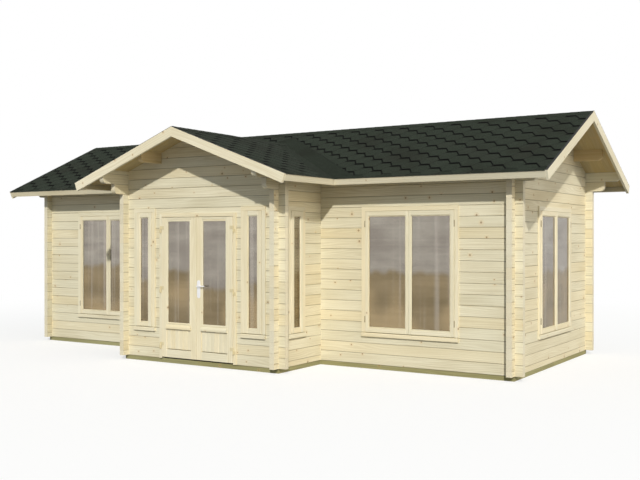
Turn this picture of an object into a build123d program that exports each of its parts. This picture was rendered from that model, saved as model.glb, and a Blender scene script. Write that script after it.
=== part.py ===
from build123d import *
import math
import os

# Log cabin with an entrance bay.
# Millimetres. X runs along the main ridge, Y from the entrance to the back, Z up.
# The origin lies on the ground below the middle of the main room.

# ---- logs ----
LOG_HEIGHT = 135.0          # one course
LOG_THICK = 70.0            # wall thickness
LOG_BEVEL = 5.0             # bevel on the outer edges of each log, a V at each joint
LOG_END = 100.0             # how far a log runs on past the wall it crosses
HALF_LOG = LOG_HEIGHT / 2
NOTCH = LOG_HEIGHT / 2      # cut in the underside of a log where it lies over another

# ---- plan ----
HOUSE_LENGTH = 8000.0       # over the faces of the end walls
HOUSE_DEPTH = 3000.0        # over the faces of the front and rear walls
BAY_WIDTH = 2620.0          # over the faces of the bay's side walls
BAY_DEPTH = 980.0           # bay front face to main front face

# ---- foundation and floor ----
BEAM_HEIGHT = 60.0
BEAM_WIDTH = 90.0
BEAM_SETBACK = 8.0          # beams lie this far behind the face of the logs
JOIST_WIDTH = 60.0
JOIST_STEP = 1000.0
FLOOR_THICK = 20.0
FLOOR_GAP = 3.0             # round the edge of the floor

# ---- roof ----
EAVES_HEIGHT = 2448.0       # top of the covering at the face of the fascias
MAIN_PITCH = 25.0
BAY_PITCH = 20.7
EAVES_OUT = 370.0           # main wall face to fascia face
BAY_EAVES_OUT = 430.0
VERGE_OUT = 500.0           # gable wall face to bargeboard face
COVER_DEPTH = 6.0           # shingles, straight down
DECK_DEPTH = 21.0           # roof boards, straight down
COVER_DRIP = 20.0           # covering past the fascias
TRIM_THICK = 20.0           # bargeboards and fascias
BARGE_WIDTH = 110.0
FASCIA_HEIGHT = 92.0
BARGE_TOP = 4.0             # bargeboards stand this far above the covering
MAIN_PURLIN = 870.0         # ridge to purlin
BAY_PURLIN = 660.0
PURLIN_OUT = 390.0          # purlin end past the gable wall
CORBEL_OUT = 265.0          # log below the wall plate, past the gable wall
CORBEL_ROUND = 65.0         # rounding below the end of a corbelled log

# ---- windows ----
WINDOW_SHIFT = 35.0         # main front windows towards the bay from the middle of their wall
WIDE_SASHES = 1234.0        # the pair of sashes
NARROW_SASH = 266.0
SASH_BOTTOM = 476.0
SASH_TOP = 2028.0
SASH_THICK = 40.0
SASH_PROUD = 28.0           # sash face in front of the logs
STILE = 57.0                # hinge side of a wide window's sash
MEETING_STILE = 46.0        # where its two sashes meet
NARROW_STILE = 68.0
RAIL = 70.0
GLAZING_BEAD = 8.0          # how far the glass runs into the sash on each side
GLASS_THICK = 4.0
GLASS_IN = 18.0             # face of the glass behind the face of the sash
SASH_GAP = 3.0
LINING = 25.0
CASING_WIDTH = 55.0
CASING_THICK = 20.0
INNER_CASING = 15.0
SASH_STOP = 12.0            # width of the strip that the sash shuts against
SILL_OUT = 30.0
SILL_LIP = 44.0             # height of the sill's front edge
BAY_SIDE_WINDOW = 385.0     # bay front face to the centre of the bay's side windows
SIDELIGHT_SPLIT = 0.39      # share of the bare pier that lies between door and sidelight
PIER_EDGE = 20.0            # least bare log on each side of a sidelight

# ---- door ----
DOOR_FRAME_WIDTH = 1307.0
DOOR_FRAME_TOP = 2010.0
DOOR_CASING = 45.0
DOOR_CASING_THICK = 18.0
DOOR_STOP = 15.0
DOOR_GAP = 5.0              # round each leaf
LEAF_THICK = 40.0
LEAF_PROUD = 24.0           # face of the leaf in front of the logs
LEAF_BOTTOM = 80.0
LEAF_STILE = 112.0
LEAF_TOP_RAIL = 56.0
LEAF_GLASS_IN = 10.0        # face of the glass behind the face of the leaf
LEAF_GLASS_BOTTOM = 552.0
PANEL_TOP = 463.0
PANEL_BOTTOM = 186.0
PANEL_THICK = 22.0
PANEL_BOARD = 80.0          # width of one panel board
PANEL_GROOVE = 4.0
PANEL_LAP = 25.0            # panel boards are this much wider than the glass on each side
DRIP_OUT = 18.0             # moulded rail below the glass
DRIP_HEIGHT = 60.0
THRESHOLD_HEIGHT = 28.0
THRESHOLD_GAP = 3.0         # behind the leaves

# ---- hinges and handle ----
HINGE_SIDE = 11.5           # pin beyond the inner edge of the door casing
HINGE_Y = 30.0              # pin in front of the face of the logs
HINGE_HEIGHTS = (235.0, 990.0, 1800.0)
BARREL_RADIUS = 8.0
BARREL_LENGTH = 44.0
BARREL_GAP = 1.0
PIN_RADIUS = 4.0
PIN_CLEARANCE = 0.05
PLATE_THICK = 3.0
ROUND_SIDES = 16            # flats round each pin, bore and lever
HINGE_WING = 40.0           # hinge plate on the face of the leaf
HINGE_SHY = 4.0             # fixed hinge plate ends this far inside the edge of the casing
HINGE_BITE = 1.0            # fixed hinge plate runs this far into its barrel
HANDLE_X = 47.0             # lever axis from the middle of the doorway
HANDLE_Z = 1053.0
PLATE_WIDTH = 46.0
PLATE_HEIGHT = 237.0
PLATE_DROP = 40.0           # centre of the plate below the lever
LEVER_LENGTH = 125.0
LEVER_RADIUS = 9.0
LEVER_OUT = 45.0
SPINDLE = 8.0               # square bar through the leaf

# ---- derived positions ----
FRONT = -HOUSE_DEPTH / 2
BACK = HOUSE_DEPTH / 2
RIGHT = HOUSE_LENGTH / 2
BAY_RIGHT = BAY_WIDTH / 2
BAY_FRONT = FRONT - BAY_DEPTH
MAIN_HALF = BACK + EAVES_OUT
BAY_HALF = BAY_RIGHT + BAY_EAVES_OUT
MAIN_SLOPE = math.tan(math.radians(MAIN_PITCH))
BAY_SLOPE = math.tan(math.radians(BAY_PITCH))
MAIN_RIDGE = EAVES_HEIGHT + MAIN_HALF * MAIN_SLOPE
BAY_RIDGE = EAVES_HEIGHT + BAY_HALF * BAY_SLOPE
VALLEY_TOP = -(MAIN_RIDGE - BAY_RIDGE) / MAIN_SLOPE
DECK_UNDER = COVER_DEPTH + DECK_DEPTH
WALL_TOP = MAIN_RIDGE + LOG_HEIGHT
THROUGH = LOG_HEIGHT        # how far a cutting block passes the faces it cuts
OPENING_HALF = DOOR_FRAME_WIDTH / 2 - DOOR_CASING + LINING
FRAME_HALF = DOOR_FRAME_WIDTH / 2 - DOOR_CASING
OPENING_TOP = DOOR_FRAME_TOP - DOOR_CASING + LINING
HINGE_X = FRAME_HALF + HINGE_SIDE
PIER = BAY_RIGHT - LOG_THICK - DOOR_FRAME_WIDTH / 2
SIDELIGHT_ROOM = PIER - 2 * (CASING_WIDTH + SASH_GAP + PIER_EDGE)
SIDELIGHT_SASH = min(NARROW_SASH, SIDELIGHT_ROOM)
SIDELIGHT_HALF = SIDELIGHT_SASH / 2 + SASH_GAP + CASING_WIDTH
SIDELIGHT_GAP = SIDELIGHT_SPLIT * (PIER - 2 * SIDELIGHT_HALF)
SIDELIGHT_X = DOOR_FRAME_WIDTH / 2 + SIDELIGHT_GAP + SIDELIGHT_HALF
WINDOW_X = (BAY_RIGHT + RIGHT) / 2 - WINDOW_SHIFT
HEAD_COURSE = BEAM_HEIGHT + LOG_HEIGHT * int((OPENING_TOP - BEAM_HEIGHT) / LOG_HEIGHT)


def block(x0, x1, y0, y1, z0, z1):
    """Box between two corners."""
    solid = Box(x1 - x0, y1 - y0, z1 - z0)
    return Pos((x0 + x1) / 2, (y0 + y1) / 2, (z0 + z1) / 2) * solid


def place(shape, x, y, turn):
    """Bring a shape made against a front-facing wall to its own wall."""
    return Pos(x, y, 0) * Rot(0, 0, turn) * shape


# ---- roof volumes ----
def main_tent(depth, spread=0.0):
    """Everything at least depth straight below the main roof surface, spread wider at the eaves."""
    half = MAIN_HALF + spread
    low = MAIN_RIDGE - half * MAIN_SLOPE - depth
    high = MAIN_RIDGE - depth
    points = [(-half, 0), (-half, low), (0, high), (half, low), (half, 0)]
    outline = make_face(Plane.YZ * Polyline(*points, close=True))
    return extrude(outline, amount=RIGHT + VERGE_OUT, both=True)


def bay_tent(depth, spread=0.0):
    """The same below the bay roof surface, back to the main ridge."""
    half = BAY_HALF + spread
    low = BAY_RIDGE - half * BAY_SLOPE - depth
    high = BAY_RIDGE - depth
    points = [(-half, 0), (-half, low), (0, high), (half, low), (half, 0)]
    outline = make_face(Plane.XZ * Polyline(*points, close=True))
    return extrude(outline, amount=VERGE_OUT - BAY_FRONT, dir=(0, -1, 0))


def plan_prism(points):
    """Tall prism over an outline drawn on the ground."""
    return extrude(make_face(Polyline(*points, close=True)), amount=WALL_TOP, dir=(0, 0, 1))


def valley_x(y):
    """Distance of the valley from the bay ridge at depth y."""
    return BAY_HALF - (y + MAIN_HALF) * MAIN_SLOPE / BAY_SLOPE


def valley_y(x):
    """Depth of the valley at distance x from the bay ridge."""
    return (BAY_HALF - x) * BAY_SLOPE / MAIN_SLOPE - MAIN_HALF


def mirrored(points):
    return [(-x, y) for x, y in reversed(points)]


def roof_layer(name, top, bottom, eaves):
    """Five slopes of one roof layer; eaves is how far it passes the faces of the fascias."""
    verge = RIGHT + VERGE_OUT - TRIM_THICK
    bay_verge = BAY_FRONT - VERGE_OUT + TRIM_THICK
    low = -MAIN_HALF - eaves
    bay_side = BAY_HALF + eaves
    peak = (0.0, VALLEY_TOP)
    main = [(-verge, low), (-valley_x(low), low), peak, (0.0, 0.0), (-verge, 0.0)]
    bay = [(-bay_side, bay_verge), (0.0, bay_verge), peak, (-bay_side, valley_y(bay_side))]
    rear = [(-verge, 0.0), (verge, 0.0), (verge, -low), (-verge, -low)]
    main_shell = main_tent(top, COVER_DRIP) - main_tent(bottom, COVER_DRIP)
    bay_shell = bay_tent(top, COVER_DRIP) - bay_tent(bottom, COVER_DRIP)
    return {
        name + "_front_left": main_shell & plan_prism(main),
        name + "_front_right": main_shell & plan_prism(mirrored(main)),
        name + "_rear": main_shell & plan_prism(rear),
        name + "_bay_left": bay_shell & plan_prism(bay),
        name + "_bay_right": bay_shell & plan_prism(mirrored(bay)),
    }


# ---- log walls ----
def log_joints(first, top):
    heights = []
    z = BEAM_HEIGHT + first
    while z < top:
        heights.append(z)
        z += LOG_HEIGHT
    return heights


def log_wall(start, end, first, base=BEAM_HEIGHT, top=WALL_TOP):
    """Stack of logs along X, outer face at Y 0; first is the height of the lowest log."""
    face = []
    for z in log_joints(first, top):
        face += [(0, z - LOG_BEVEL), (LOG_BEVEL, z), (0, z + LOG_BEVEL)]
    points = [(0, base)] + face + [(0, top), (LOG_THICK, top), (LOG_THICK, base)]
    section = make_face(Plane.YZ * Polyline(*points, close=True))
    return Pos(start, 0, 0) * extrude(section, amount=end - start, dir=(1, 0, 0))


def crossing(x0, first):
    """Notches in the underside of each log where another wall passes through at x0."""
    notches = []
    z = BEAM_HEIGHT + LOG_HEIGHT - first
    while z < WALL_TOP:
        notches.append(block(x0, x0 + LOG_THICK, 0, LOG_THICK, z, z + NOTCH))
        z += LOG_HEIGHT
    return notches


def end_cutter(edge, side, steps):
    """Trims the end of a wall: plain ends below, longer and rounded corbel logs above.

    edge is the face of the crossing wall, side is -1 or 1, and steps are pairs of
    reach and underside, one for each corbel log from the lowest up.
    """
    far = VERGE_OUT + THROUGH
    here = (LOG_END, 0)
    lines = []
    for reach, under in steps:
        foot = (here[0], under)
        knee = (reach - CORBEL_ROUND, under)
        nose = (reach, under + CORBEL_ROUND)
        lines += [Line(here, foot), Line(foot, knee), RadiusArc(knee, nose, -CORBEL_ROUND)]
        here = nose
    corners = [here, (here[0], WALL_TOP), (far, WALL_TOP), (far, 0), (LOG_END, 0)]
    lines += [Polyline(*corners)]
    shape = extrude(make_face(Plane.XZ * (Curve() + lines)), amount=LOG_THICK, both=True)
    if side < 0:
        shape = mirror(shape, about=Plane.YZ)
    return Pos(edge, 0, 0) * shape


def course_under(first, height):
    """Underside of the log that holds this height, in a wall whose lowest log is first high."""
    count = math.floor((height - BEAM_HEIGHT - first) / LOG_HEIGHT)
    return BEAM_HEIGHT + first + count * LOG_HEIGHT


def window_hole(width):
    half = width / 2 + SASH_GAP + LINING
    low = SASH_BOTTOM - SASH_GAP - LINING
    high = SASH_TOP + SASH_GAP + LINING
    return block(-half, half, -THROUGH, LOG_THICK + THROUGH, low, high)


under_roof = main_tent(DECK_UNDER) + bay_tent(DECK_UNDER)
eaves_wall_top = MAIN_RIDGE - BACK * MAIN_SLOPE - DECK_UNDER
bay_wall_top = BAY_RIDGE - BAY_RIGHT * BAY_SLOPE - DECK_UNDER
inner_reach = VERGE_OUT - TRIM_THICK
main_plate = course_under(LOG_HEIGHT, eaves_wall_top - HALF_LOG)
bay_plate = course_under(HALF_LOG, bay_wall_top - HALF_LOG)
main_steps = [(CORBEL_OUT, main_plate - LOG_HEIGHT), (inner_reach, main_plate)]
bay_steps = [(CORBEL_OUT, bay_plate - LOG_HEIGHT), (inner_reach, bay_plate)]

wide_hole = window_hole(WIDE_SASHES)
narrow_hole = window_hole(NARROW_SASH)
sidelight_hole = window_hole(SIDELIGHT_SASH)

parts = {}

# rear wall, full log at the bottom
rear = log_wall(-RIGHT - VERGE_OUT, RIGHT + VERGE_OUT, LOG_HEIGHT)
rear = rear - crossing(-RIGHT, LOG_HEIGHT) - crossing(RIGHT - LOG_THICK, LOG_HEIGHT)
rear = rear - end_cutter(RIGHT, 1, main_steps) - end_cutter(-RIGHT, -1, main_steps)
parts["rear_wall"] = place(rear, 0, BACK, 180) & under_roof

# main front wall, either side of the bay
left = log_wall(-RIGHT - VERGE_OUT, -BAY_RIGHT, LOG_HEIGHT)
left = left - crossing(-RIGHT, LOG_HEIGHT)
left = left - end_cutter(-RIGHT, -1, main_steps) - Pos(-WINDOW_X, 0, 0) * wide_hole
left = place(left, 0, FRONT, 0) & under_roof
parts["front_wall_left"] = left
parts["front_wall_right"] = mirror(left, about=Plane.YZ)

# end walls with the main gables, half log at the bottom
end_wall = log_wall(-BACK - LOG_END, BACK + LOG_END, HALF_LOG)
end_wall = end_wall - crossing(-BACK, HALF_LOG) - crossing(BACK - LOG_THICK, HALF_LOG)
end_wall = end_wall - wide_hole
end_wall = place(end_wall, RIGHT, 0, 90) & under_roof

# bay side walls, half log at the bottom; the main front wall butts against them
side_start = BAY_FRONT - VERGE_OUT
side_end = FRONT + LOG_THICK
side = log_wall(side_start, side_end, HALF_LOG)
side = side - crossing(BAY_FRONT, HALF_LOG)
side = side - end_cutter(BAY_FRONT, -1, bay_steps)
side = side - Pos(BAY_FRONT + BAY_SIDE_WINDOW, 0, 0) * narrow_hole
side = place(side, BAY_RIGHT, 0, 90) & under_roof
parts["bay_wall_right"] = side
parts["bay_wall_left"] = mirror(side, about=Plane.YZ)

# bay front wall: a pier with a sidelight on each side of the door, and the gable over them
bay_front = log_wall(-BAY_RIGHT - LOG_END, BAY_RIGHT + LOG_END, LOG_HEIGHT)
bay_front = bay_front - crossing(-BAY_RIGHT, LOG_HEIGHT) - crossing(BAY_RIGHT - LOG_THICK, LOG_HEIGHT)
for centre in (-SIDELIGHT_X, SIDELIGHT_X):
    bay_front = bay_front - Pos(centre, 0, 0) * sidelight_hole
doorway = block(-OPENING_HALF, OPENING_HALF, -THROUGH, LOG_THICK + THROUGH, 0, OPENING_TOP)
bay_front = bay_front - doorway
bay_front = place(bay_front, 0, BAY_FRONT, 0) & under_roof
far = BAY_WIDTH
pier = bay_front & block(-far, 0, -HOUSE_LENGTH, 0, 0, HEAD_COURSE)
parts["bay_front_left"] = pier
parts["bay_front_right"] = mirror(pier, about=Plane.YZ)
parts["bay_gable"] = bay_front & block(-far, far, -HOUSE_LENGTH, 0, HEAD_COURSE, WALL_TOP)


# ---- purlins ----
def purlin(start, end, centre, slope_top, both_ends):
    """Beam along X whose lower end corners are rounded; its top is bevelled by the roof later."""
    low = slope_top - LOG_HEIGHT
    high = slope_top + HALF_LOG
    beam = block(start, end, centre - LOG_THICK / 2, centre + LOG_THICK / 2, low, high)
    lower = beam.edges().filter_by(Axis.Y).group_by(Axis.Z)[0].sort_by(Axis.X)
    rounded = [lower[0], lower[-1]] if both_ends else [lower[-1]]
    return fillet(rounded, CORBEL_ROUND)


purlin_half = RIGHT + PURLIN_OUT
main_purlin_top = MAIN_RIDGE - MAIN_PURLIN * MAIN_SLOPE - DECK_UNDER
bay_purlin_top = BAY_RIDGE - BAY_PURLIN * BAY_SLOPE - DECK_UNDER
purlin_front = purlin(-purlin_half, purlin_half, -MAIN_PURLIN, main_purlin_top, True)
purlin_rear = purlin(-purlin_half, purlin_half, MAIN_PURLIN, main_purlin_top, True)
main_roof_space = main_tent(DECK_UNDER)
parts["main_purlins"] = Part() + [purlin_front & main_roof_space, purlin_rear & main_roof_space]

bay_back = -MAIN_PURLIN - LOG_THICK / 2
bay_beam = Rot(0, 0, -90) * purlin(-bay_back, PURLIN_OUT - BAY_FRONT, 0, bay_purlin_top, False)
bay_roof_space = bay_tent(DECK_UNDER)
bay_left_beam = (Pos(-BAY_PURLIN, 0, 0) * bay_beam) & bay_roof_space
bay_right_beam = mirror(bay_left_beam, about=Plane.YZ)
parts["bay_purlins"] = Part() + [bay_left_beam, bay_right_beam]

end_wall = end_wall - parts["main_purlins"]
parts["end_wall_right"] = end_wall
parts["end_wall_left"] = mirror(end_wall, about=Plane.YZ)
parts["bay_gable"] = parts["bay_gable"] - parts["bay_purlins"]

# ---- roof deck, covering and trim ----
parts.update(roof_layer("roof_boards", COVER_DEPTH, DECK_UNDER, -TRIM_THICK))
parts.update(roof_layer("roof_cover", 0.0, COVER_DEPTH, COVER_DRIP))


def barge_pair(half, pitch, ridge):
    """The two sloping boards of one gable with square-cut feet, in the XZ plane."""
    angle = math.radians(pitch)
    lift = BARGE_TOP / math.cos(angle)
    drop = BARGE_WIDTH / math.cos(angle) - lift
    tip = EAVES_HEIGHT + lift
    heel = half - BARGE_WIDTH * math.sin(angle)
    toe = tip - BARGE_WIDTH * math.cos(angle)
    points = [
        (-half, tip), (0, ridge + lift), (half, tip), (heel, toe), (0, ridge - drop), (-heel, toe),
    ]
    outline = make_face(Plane.XZ * Polyline(*points, close=True))
    return extrude(outline, amount=TRIM_THICK, dir=(0, -1, 0))


main_barge = barge_pair(MAIN_HALF, MAIN_PITCH, MAIN_RIDGE)
barge_right = Pos(RIGHT + VERGE_OUT - TRIM_THICK, 0, 0) * Rot(0, 0, 90) * main_barge
parts["main_bargeboards"] = Part() + [barge_right, mirror(barge_right, about=Plane.YZ)]
bay_barge = barge_pair(BAY_HALF, BAY_PITCH, BAY_RIDGE)
parts["bay_bargeboards"] = Pos(0, BAY_FRONT - VERGE_OUT + TRIM_THICK, 0) * bay_barge

fascia_low = EAVES_HEIGHT - FASCIA_HEIGHT
inner_verge = RIGHT + VERGE_OUT - TRIM_THICK
main_inner = MAIN_HALF - TRIM_THICK
bay_inner = BAY_HALF - TRIM_THICK
bay_end = BAY_FRONT - VERGE_OUT + TRIM_THICK
main_cover_space = main_tent(COVER_DEPTH)
bay_cover_space = bay_tent(COVER_DEPTH)
rear_fascia = block(-inner_verge, inner_verge, main_inner, MAIN_HALF, fascia_low, MAIN_RIDGE)
rear_fascia = rear_fascia & main_cover_space
left_fascia = block(-inner_verge, -bay_inner, -MAIN_HALF, -main_inner, fascia_low, MAIN_RIDGE)
left_fascia = left_fascia & main_cover_space
right_fascia = mirror(left_fascia, about=Plane.YZ)
parts["main_fascias"] = Part() + [rear_fascia, left_fascia, right_fascia]
bay_fascia = block(-BAY_HALF, -bay_inner, bay_end, -MAIN_HALF, fascia_low, MAIN_RIDGE)
bay_fascia = bay_fascia & bay_cover_space
parts["bay_fascias"] = Part() + [bay_fascia, mirror(bay_fascia, about=Plane.YZ)]

# ---- foundation and floor ----
inner_beam = BEAM_SETBACK + BEAM_WIDTH
beam_x = RIGHT - BEAM_SETBACK
beam_y = BACK - BEAM_SETBACK
bay_beam_x = BAY_RIGHT - BEAM_SETBACK
bay_beam_back = BAY_FRONT + inner_beam
parts["foundation_beams"] = Part() + [
    block(-beam_x, beam_x, -beam_y, FRONT + inner_beam, 0, BEAM_HEIGHT),
    block(-beam_x, beam_x, BACK - inner_beam, beam_y, 0, BEAM_HEIGHT),
    block(-bay_beam_x, bay_beam_x, BAY_FRONT + BEAM_SETBACK, bay_beam_back, 0, BEAM_HEIGHT),
]


def joist(centre, width, start, end):
    """Timber from front to back between two beams."""
    return block(centre - width / 2, centre + width / 2, start, end, 0, BEAM_HEIGHT)


main_span = (FRONT + inner_beam, BACK - inner_beam)
bay_span = (bay_beam_back, FRONT + BEAM_SETBACK)
joists = [joist(0, JOIST_WIDTH, *bay_span)]
for side in (-1, 1):
    joists.append(joist(side * (beam_x - BEAM_WIDTH / 2), BEAM_WIDTH, *main_span))
    joists.append(joist(side * (bay_beam_x - BEAM_WIDTH / 2), BEAM_WIDTH, *bay_span))
count = int((RIGHT - BEAM_WIDTH) / JOIST_STEP)
for number in range(-count, count + 1):
    joists.append(joist(number * JOIST_STEP, JOIST_WIDTH, *main_span))
parts["foundation_joists"] = Part() + joists

floor_x = RIGHT - LOG_THICK - FLOOR_GAP
floor_y = BACK - LOG_THICK - FLOOR_GAP
floor_top = BEAM_HEIGHT + FLOOR_THICK
bay_floor_x = BAY_RIGHT - LOG_THICK - FLOOR_GAP
bay_floor_y = BAY_FRONT + LOG_THICK + FLOOR_GAP
parts["main_floor"] = block(-floor_x, floor_x, -floor_y, floor_y, BEAM_HEIGHT, floor_top)
parts["bay_floor"] = block(
    -bay_floor_x, bay_floor_x, bay_floor_y, -floor_y, BEAM_HEIGHT, floor_top,
)


# ---- windows ----
def ring(half, low, high, width, y0, y1):
    """Frame of four members around an opening, from y0 to y1 through the wall."""
    outer = block(-half, half, y0, y1, low, high)
    inner = block(-half + width, half - width, y0 - 1, y1 + 1, low + width, high - width)
    return outer - inner


def window_frame(sash_width):
    """Lining through the logs, casing outside and inside, and a sloped sill outside."""
    half = sash_width / 2 + SASH_GAP
    low = SASH_BOTTOM - SASH_GAP
    high = SASH_TOP + SASH_GAP
    sill_low = low - CASING_WIDTH
    casing = (half + CASING_WIDTH, sill_low, high + CASING_WIDTH, CASING_WIDTH)
    frame = ring(half + LINING, low - LINING, high + LINING, LINING, 0, LOG_THICK)
    frame += ring(*casing, -CASING_THICK, 0)
    frame += ring(*casing, LOG_THICK, LOG_THICK + INNER_CASING)
    profile = Plane.YZ * Polyline(
        (0, sill_low), (-SILL_OUT, sill_low), (-SILL_OUT, sill_low + SILL_LIP),
        (-CASING_THICK, low), (0, low), close=True,
    )
    sill = extrude(make_face(profile), amount=half + CASING_WIDTH, both=True)
    stop = ring(half, low, high, SASH_STOP, SASH_THICK - SASH_PROUD, LOG_THICK)
    return frame + sill + stop


def sash(width, left, right):
    """One glazed sash about X 0 between stiles of these widths, with the groove for its glass."""
    half = width / 2
    body = block(-half, half, -SASH_PROUD, SASH_THICK - SASH_PROUD, SASH_BOTTOM, SASH_TOP)
    light = block(left - half, half - right, -THROUGH, THROUGH, SASH_BOTTOM + RAIL, SASH_TOP - RAIL)
    return body - light - pane(width, left, right)


def pane(width, left, right):
    """Its glass, set into the sash on all four sides."""
    start = left - GLAZING_BEAD - width / 2
    end = width / 2 - right + GLAZING_BEAD
    face = GLASS_IN - SASH_PROUD
    low = SASH_BOTTOM + RAIL - GLAZING_BEAD
    high = SASH_TOP - RAIL + GLAZING_BEAD
    return block(start, end, face, face + GLASS_THICK, low, high)


def pair(maker, total):
    """Two leaves of a casement window side by side, hinged at their outer stiles."""
    single = (total - SASH_GAP) / 2
    shift = (single + SASH_GAP) / 2
    left = Pos(-shift, 0, 0) * maker(single, STILE, MEETING_STILE)
    right = Pos(shift, 0, 0) * maker(single, MEETING_STILE, STILE)
    return [left, right]


wide_places = {
    "front_window": [(-WINDOW_X, FRONT, 0), (WINDOW_X, FRONT, 0)],
    "end_window": [(-RIGHT, 0, -90), (RIGHT, 0, 90)],
}
for name, spots in wide_places.items():
    frames = [place(window_frame(WIDE_SASHES), *spot) for spot in spots]
    sashes = [place(leaf, *spot) for spot in spots for leaf in pair(sash, WIDE_SASHES)]
    panes = [place(leaf, *spot) for spot in spots for leaf in pair(pane, WIDE_SASHES)]
    parts[name + "_frames"] = Part() + frames
    parts[name + "_sashes"] = Part() + sashes
    parts[name + "_glass"] = Part() + panes

bay_window_y = BAY_FRONT + BAY_SIDE_WINDOW
narrow_places = [
    (SIDELIGHT_SASH, -SIDELIGHT_X, BAY_FRONT, 0), (SIDELIGHT_SASH, SIDELIGHT_X, BAY_FRONT, 0),
    (NARROW_SASH, -BAY_RIGHT, bay_window_y, -90), (NARROW_SASH, BAY_RIGHT, bay_window_y, 90),
]
narrow_frames = [place(window_frame(width), *spot) for width, *spot in narrow_places]
parts["bay_window_frames"] = Part() + narrow_frames
for word, maker in (("sashes", sash), ("glass", pane)):
    pieces = [
        place(maker(width, NARROW_STILE, NARROW_STILE), *spot) for width, *spot in narrow_places
    ]
    parts["bay_window_" + word] = Part() + pieces

# ---- door frame ----
frame_outer = DOOR_FRAME_WIDTH / 2
frame_inner_top = DOOR_FRAME_TOP - DOOR_CASING
stop_y = LEAF_THICK - LEAF_PROUD + DOOR_GAP


def portal(half, top, width, y0, y1):
    """Two posts and a head, open at the foot."""
    outer = block(-half, half, y0, y1, BEAM_HEIGHT, top)
    return outer - block(-half + width, half - width, y0 - 1, y1 + 1, 0, top - width)


door_frame = portal(frame_outer, DOOR_FRAME_TOP, DOOR_CASING, -DOOR_CASING_THICK, 0)
door_frame += portal(OPENING_HALF, OPENING_TOP, LINING, 0, LOG_THICK)
door_frame += portal(FRAME_HALF, frame_inner_top, DOOR_STOP, stop_y, LOG_THICK)
door_frame += portal(frame_outer, DOOR_FRAME_TOP, DOOR_CASING, LOG_THICK, LOG_THICK + INNER_CASING)
parts["door_frame"] = Pos(0, BAY_FRONT, 0) * door_frame - parts["bay_floor"]
sill_half = FRAME_HALF - DOOR_STOP
threshold_top = BEAM_HEIGHT + THRESHOLD_HEIGHT
threshold_front = stop_y + THRESHOLD_GAP
threshold = block(-sill_half, sill_half, threshold_front, LOG_THICK, BEAM_HEIGHT, threshold_top)
parts["threshold"] = Pos(0, BAY_FRONT, 0) * threshold

# ---- door leaves ----
leaf_in = DOOR_GAP / 2
leaf_out = FRAME_HALF - DOOR_GAP
leaf_top = frame_inner_top - DOOR_GAP
leaf_back = LEAF_THICK - LEAF_PROUD
light_in = leaf_in + LEAF_STILE
light_out = leaf_out - LEAF_STILE
light_top = leaf_top - LEAF_TOP_RAIL
panel_in = light_in - PANEL_LAP
panel_out = light_out + PANEL_LAP

leaf = block(leaf_in, leaf_out, -LEAF_PROUD, leaf_back, LEAF_BOTTOM, leaf_top)
leaf -= block(light_in, light_out, -THROUGH, THROUGH, LEAF_GLASS_BOTTOM, light_top)
glass_face = LEAF_GLASS_IN - LEAF_PROUD
leaf_glass = block(
    light_in - GLAZING_BEAD, light_out + GLAZING_BEAD, glass_face, glass_face + GLASS_THICK,
    LEAF_GLASS_BOTTOM - GLAZING_BEAD, light_top + GLAZING_BEAD,
)
leaf -= leaf_glass
recess = (LEAF_THICK - PANEL_THICK) / 2
panel_front = -LEAF_PROUD + recess
panel_rear = leaf_back - recess
leaf -= block(panel_in, panel_out, -THROUGH, panel_front, PANEL_BOTTOM, PANEL_TOP)
leaf -= block(panel_in, panel_out, panel_rear, THROUGH, PANEL_BOTTOM, PANEL_TOP)
boards = int((panel_out - panel_in) / PANEL_BOARD)
for number in range(1, boards + 1):
    x = panel_in + number * (panel_out - panel_in) / (boards + 1)
    for y in (panel_front, panel_rear):
        rod = Box(PANEL_GROOVE, PANEL_GROOVE, PANEL_TOP - PANEL_BOTTOM)
        leaf -= Pos(x, y, (PANEL_TOP + PANEL_BOTTOM) / 2) * Rot(0, 0, 45) * rod
drip_front = -LEAF_PROUD - DRIP_OUT
drip = Plane.YZ * Polyline(
    (-LEAF_PROUD, PANEL_TOP), (drip_front, PANEL_TOP),
    (drip_front, PANEL_TOP + DRIP_HEIGHT / 3), (-LEAF_PROUD, PANEL_TOP + DRIP_HEIGHT), close=True,
)
leaf += Pos(panel_in, 0, 0) * extrude(make_face(drip), amount=panel_out - panel_in, dir=(1, 0, 0))

# ---- hinges ----
def round_bar(radius, length):
    """Bar along Z about the origin, its flats inside this radius."""
    return extrude(RegularPolygon(radius, ROUND_SIDES), amount=length / 2, both=True)


def round_bore(radius, length):
    """Cutting bar for a bore, its flats outside this radius."""
    outline = RegularPolygon(radius, ROUND_SIDES, major_radius=False)
    return extrude(outline, amount=length / 2, both=True)


bore = PIN_RADIUS + PIN_CLEARANCE
half_gap = BARREL_GAP / 2
plate_front = BARREL_RADIUS - HINGE_Y - HINGE_BITE
wing_front = -LEAF_PROUD - PLATE_THICK
fixed_hinges = []
moving_hinges = []
for height in HINGE_HEIGHTS:
    axis = Pos(HINGE_X, -HINGE_Y, height)
    barrel = Cylinder(BARREL_RADIUS, BARREL_LENGTH)
    lower = axis * Pos(0, 0, -half_gap - BARREL_LENGTH / 2) * barrel
    lower += block(
        HINGE_X - BARREL_RADIUS, frame_outer - HINGE_SHY, plate_front, -DOOR_CASING_THICK,
        height - half_gap - BARREL_LENGTH, height - half_gap,
    )
    lower += axis * round_bar(PIN_RADIUS, BARREL_LENGTH)
    fixed_hinges.append(lower)
    low = height + half_gap
    upper = axis * Pos(0, 0, half_gap + BARREL_LENGTH / 2) * barrel
    upper += block(leaf_out - HINGE_WING, HINGE_X, wing_front, -LEAF_PROUD, low, low + BARREL_LENGTH)
    upper -= axis * round_bore(bore, BARREL_LENGTH + 2 * BARREL_GAP)
    moving_hinges.append(upper)


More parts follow.
